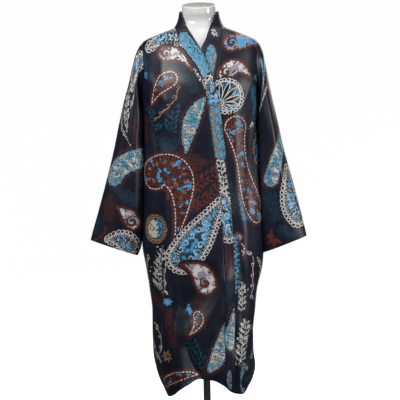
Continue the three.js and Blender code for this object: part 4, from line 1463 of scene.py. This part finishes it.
def form_rings():
    """The dress form's rings of points, from its flat underside to its tilted top."""
    rows = list(FORM)
    for z in lerp(NECK_SEAM - SEAM, SHOULDER_TIP, np.linspace(0, 1, 7) ** SHOULDER_CROWD):
        row = {"z": z, "half": float(body["left"](z)) - SHOULDER_INSET, "tilt": 0}
        row["front"] = float(body["front"](z)) - 1.5 * SHOULDER_INSET
        row["back"] = float(body["back"](z)) - SHOULDER_INSET
        rows.append(row)
    curves = {key: column(rows, key) for key in ("half", "front", "back", "tilt")}
    turn = np.linspace(0, 2 * math.pi, FORM_SIDES, endpoint=False)
    rounding = FORM_TOP - FORM_TOP_ROUND
    loops = []
    heights = np.arange(FORM_BOTTOM, rounding, FORM_STEP)
    for z in np.concatenate([heights, np.linspace(rounding, FORM_TOP, 9)]):
        half, front, back, tilt = (float(curves[key](z)) for key in ("half", "front", "back", "tilt"))
        z = z - NECK_DROP * smooth((z - NECK_DROP_OVER[0]) / NECK_DROP_OVER[1])
        x, y = outline(turn, half, np.where(np.cos(turn) > 0, front, back), power(z))
        loops.append(np.stack([x, y, z + tilt * y * FORM_TOP_SLOPE], -1))
    return loops, FORM_BOTTOM, z


def turned(name, profile, sides=96):
    """A turned part, from its profile of radii and heights from the axis out and back."""
    loops = ring_loops([(r, z) for r, z in profile if r > 0], sides)
    if profile[0][0] == 0:
        return closed_stack(name, loops, profile[0][1], profile[-1][1])
    points = np.concatenate(loops)
    j = np.arange(sides)
    nxt = (j + 1) % sides
    last = len(points) - sides
    closing = np.stack([j, last + j, last + nxt, nxt], -1)
    faces = np.concatenate([quads(len(loops), sides, True, turned=True), closing])
    return mesh_object(name, points, faces.tolist())


def flange_profile():
    radius, edge = FLANGE["radius"], FLANGE["edge"]
    top = FORM_BOTTOM - FIT
    foot = top - FLANGE["height"]
    return [(0, foot), (radius - edge, foot), (radius, foot + edge), (radius, top), (0, top)]


def pole_profile():
    foot = BASE["height"] + FIT
    top = FORM_BOTTOM - FIT - FLANGE["height"] - FIT
    return [(0, foot), (POLE_RADIUS, foot), (POLE_RADIUS, top), (0, top)]


def base_profile():
    radius, top, edge, bevel = (BASE[key] for key in ("radius", "height", "edge", "bevel"))
    side = [(radius - 1, 0), (radius, 1), (radius, top - edge)]
    return [(0, 0), *side, (radius - bevel, top - bevel), (radius - edge, top), (0, top)]


def hub_profile():
    hole, radius, foot = HUB["hole"], HUB["radius"], BASE["height"] + FIT
    lip, top, neck = foot + HUB["lip"], foot + HUB["height"], HUB["hole"] + HUB["neck"]
    return [(hole, foot), (radius, foot), (radius, lip), HUB["waist"], (neck, top), (hole, top)]


for stand_piece, node, material, slot in (
    (closed_stack("form.torso", *form_rings()), "form_torso", gloss, "form_shell"),
    (turned("form.flange", flange_profile()), "form_flange", steel, "stand_steel"),
    (turned("form.pole", pole_profile()), "form_pole", steel, "stand_steel"),
    (turned("form.base", base_profile(), BASE["sides"]), "form_base", steel, "stand_steel"),
    (turned("form.hub", hub_profile()), "form_hub", steel, "stand_steel"),
):
    stand_piece.data.materials.append(material)
    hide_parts(node)
    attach(stand_piece, "root")


# Stage, light and camera

LAMPS = table("name place target size watts spread", [
    ("key", (-1.6, -2.1, 3.0), (0, 0, 1.36), (2.0, 1.3), 13, 56),
    ("side", (2.6, -1.7, 1.25), (0, 0, 0.62), (0.5, 1.6), 9, 70),
    ("top", (0.2, 0.1, 3.3), (0, 0, 1.3), (1.6, 1.2), 14, 180),
    ("behind", (1.2, 2.8, 2.2), (0, 0, 0.9), (1.6, 1.6), 30, 180),
])


def stage():
    """A round white studio that only the camera sees, so that the lamps alone light the coat."""
    radius, curve, sides = STUDIO["radius"], STUDIO["bend"], STUDIO["sides"]
    reach = radius - curve
    profile = [(STUDIO["inner"], 0), (reach, 0)]
    for a in np.linspace(0, math.pi / 2, 12)[1:]:
        profile.append((reach + curve * math.sin(a), curve * (1 - math.cos(a))))
    profile.append((radius, STUDIO["height"]))
    points = np.concatenate([*ring_loops(profile, sides), [[0, 0, 0]]])
    faces = quads(len(profile), sides, True).tolist()
    faces += [[len(points) - 1, j, (j + 1) % sides] for j in range(sides)]
    backdrop = mesh_object("backdrop", points / MM, faces)
    backdrop.location.z = -0.0005
    material, tree, shader = principled("studio paper", 0.9)
    place = tree.nodes.new("ShaderNodeTexCoord")
    tone = noise(tree, place.outputs["Object"], 3, 2)
    tinted(tree, shader, (250, 250, 250), (246, 246, 246), tone)
    shader.inputs["Emission Color"].default_value = (1, 1, 1, 1)
    shader.inputs["Emission Strength"].default_value = STUDIO_GLOW
    backdrop.data.materials.append(material)
    backdrop.visible_diffuse = False
    backdrop.visible_glossy = False


def area_light(name, place, target, size, watts, spread):
    lamp = bpy.data.lights.new(name, "AREA")
    lamp.shape = "RECTANGLE"
    lamp.size, lamp.size_y = size
    lamp.energy = watts
    lamp.spread = math.radians(spread)
    light = bpy.data.objects.new(name, lamp)
    light.location = place
    light.rotation_euler = (Vector(target) - Vector(place)).to_track_quat("-Z", "Y").to_euler()
    bpy.context.scene.collection.objects.link(light)


def camera():
    lens = bpy.data.cameras.new("camera")
    seen = bpy.data.objects.new("camera", lens)
    place = Vector((VIEW_CENTRE[0], -CAMERA_DISTANCE, CAMERA_HEIGHT)) * MM
    centre = Vector(VIEW_CENTRE) * MM
    far = (centre - place).length
    lens.sensor_width = SENSOR_WIDTH
    lens.lens = SENSOR_WIDTH * far / (VIEW_WIDTH * MM)
    look = (centre - place).to_track_quat("-Z", "Y").to_matrix().to_4x4()
    seen.matrix_world = Matrix.Translation(place) @ look @ Matrix.Rotation(CAMERA_ROLL, 4, "Z")
    bpy.context.scene.collection.objects.link(seen)
    bpy.context.scene.camera = seen


stage()
for lamp in LAMPS:
    area_light(**lamp)
world = bpy.data.worlds.new("studio air")
world.use_nodes = True
world.node_tree.nodes["Background"].inputs["Color"].default_value = (1, 1, 1, 1)
world.node_tree.nodes["Background"].inputs["Strength"].default_value = AIR_GLOW
bpy.context.scene.world = world
bpy.context.scene.view_settings.view_transform = "Standard"
camera()
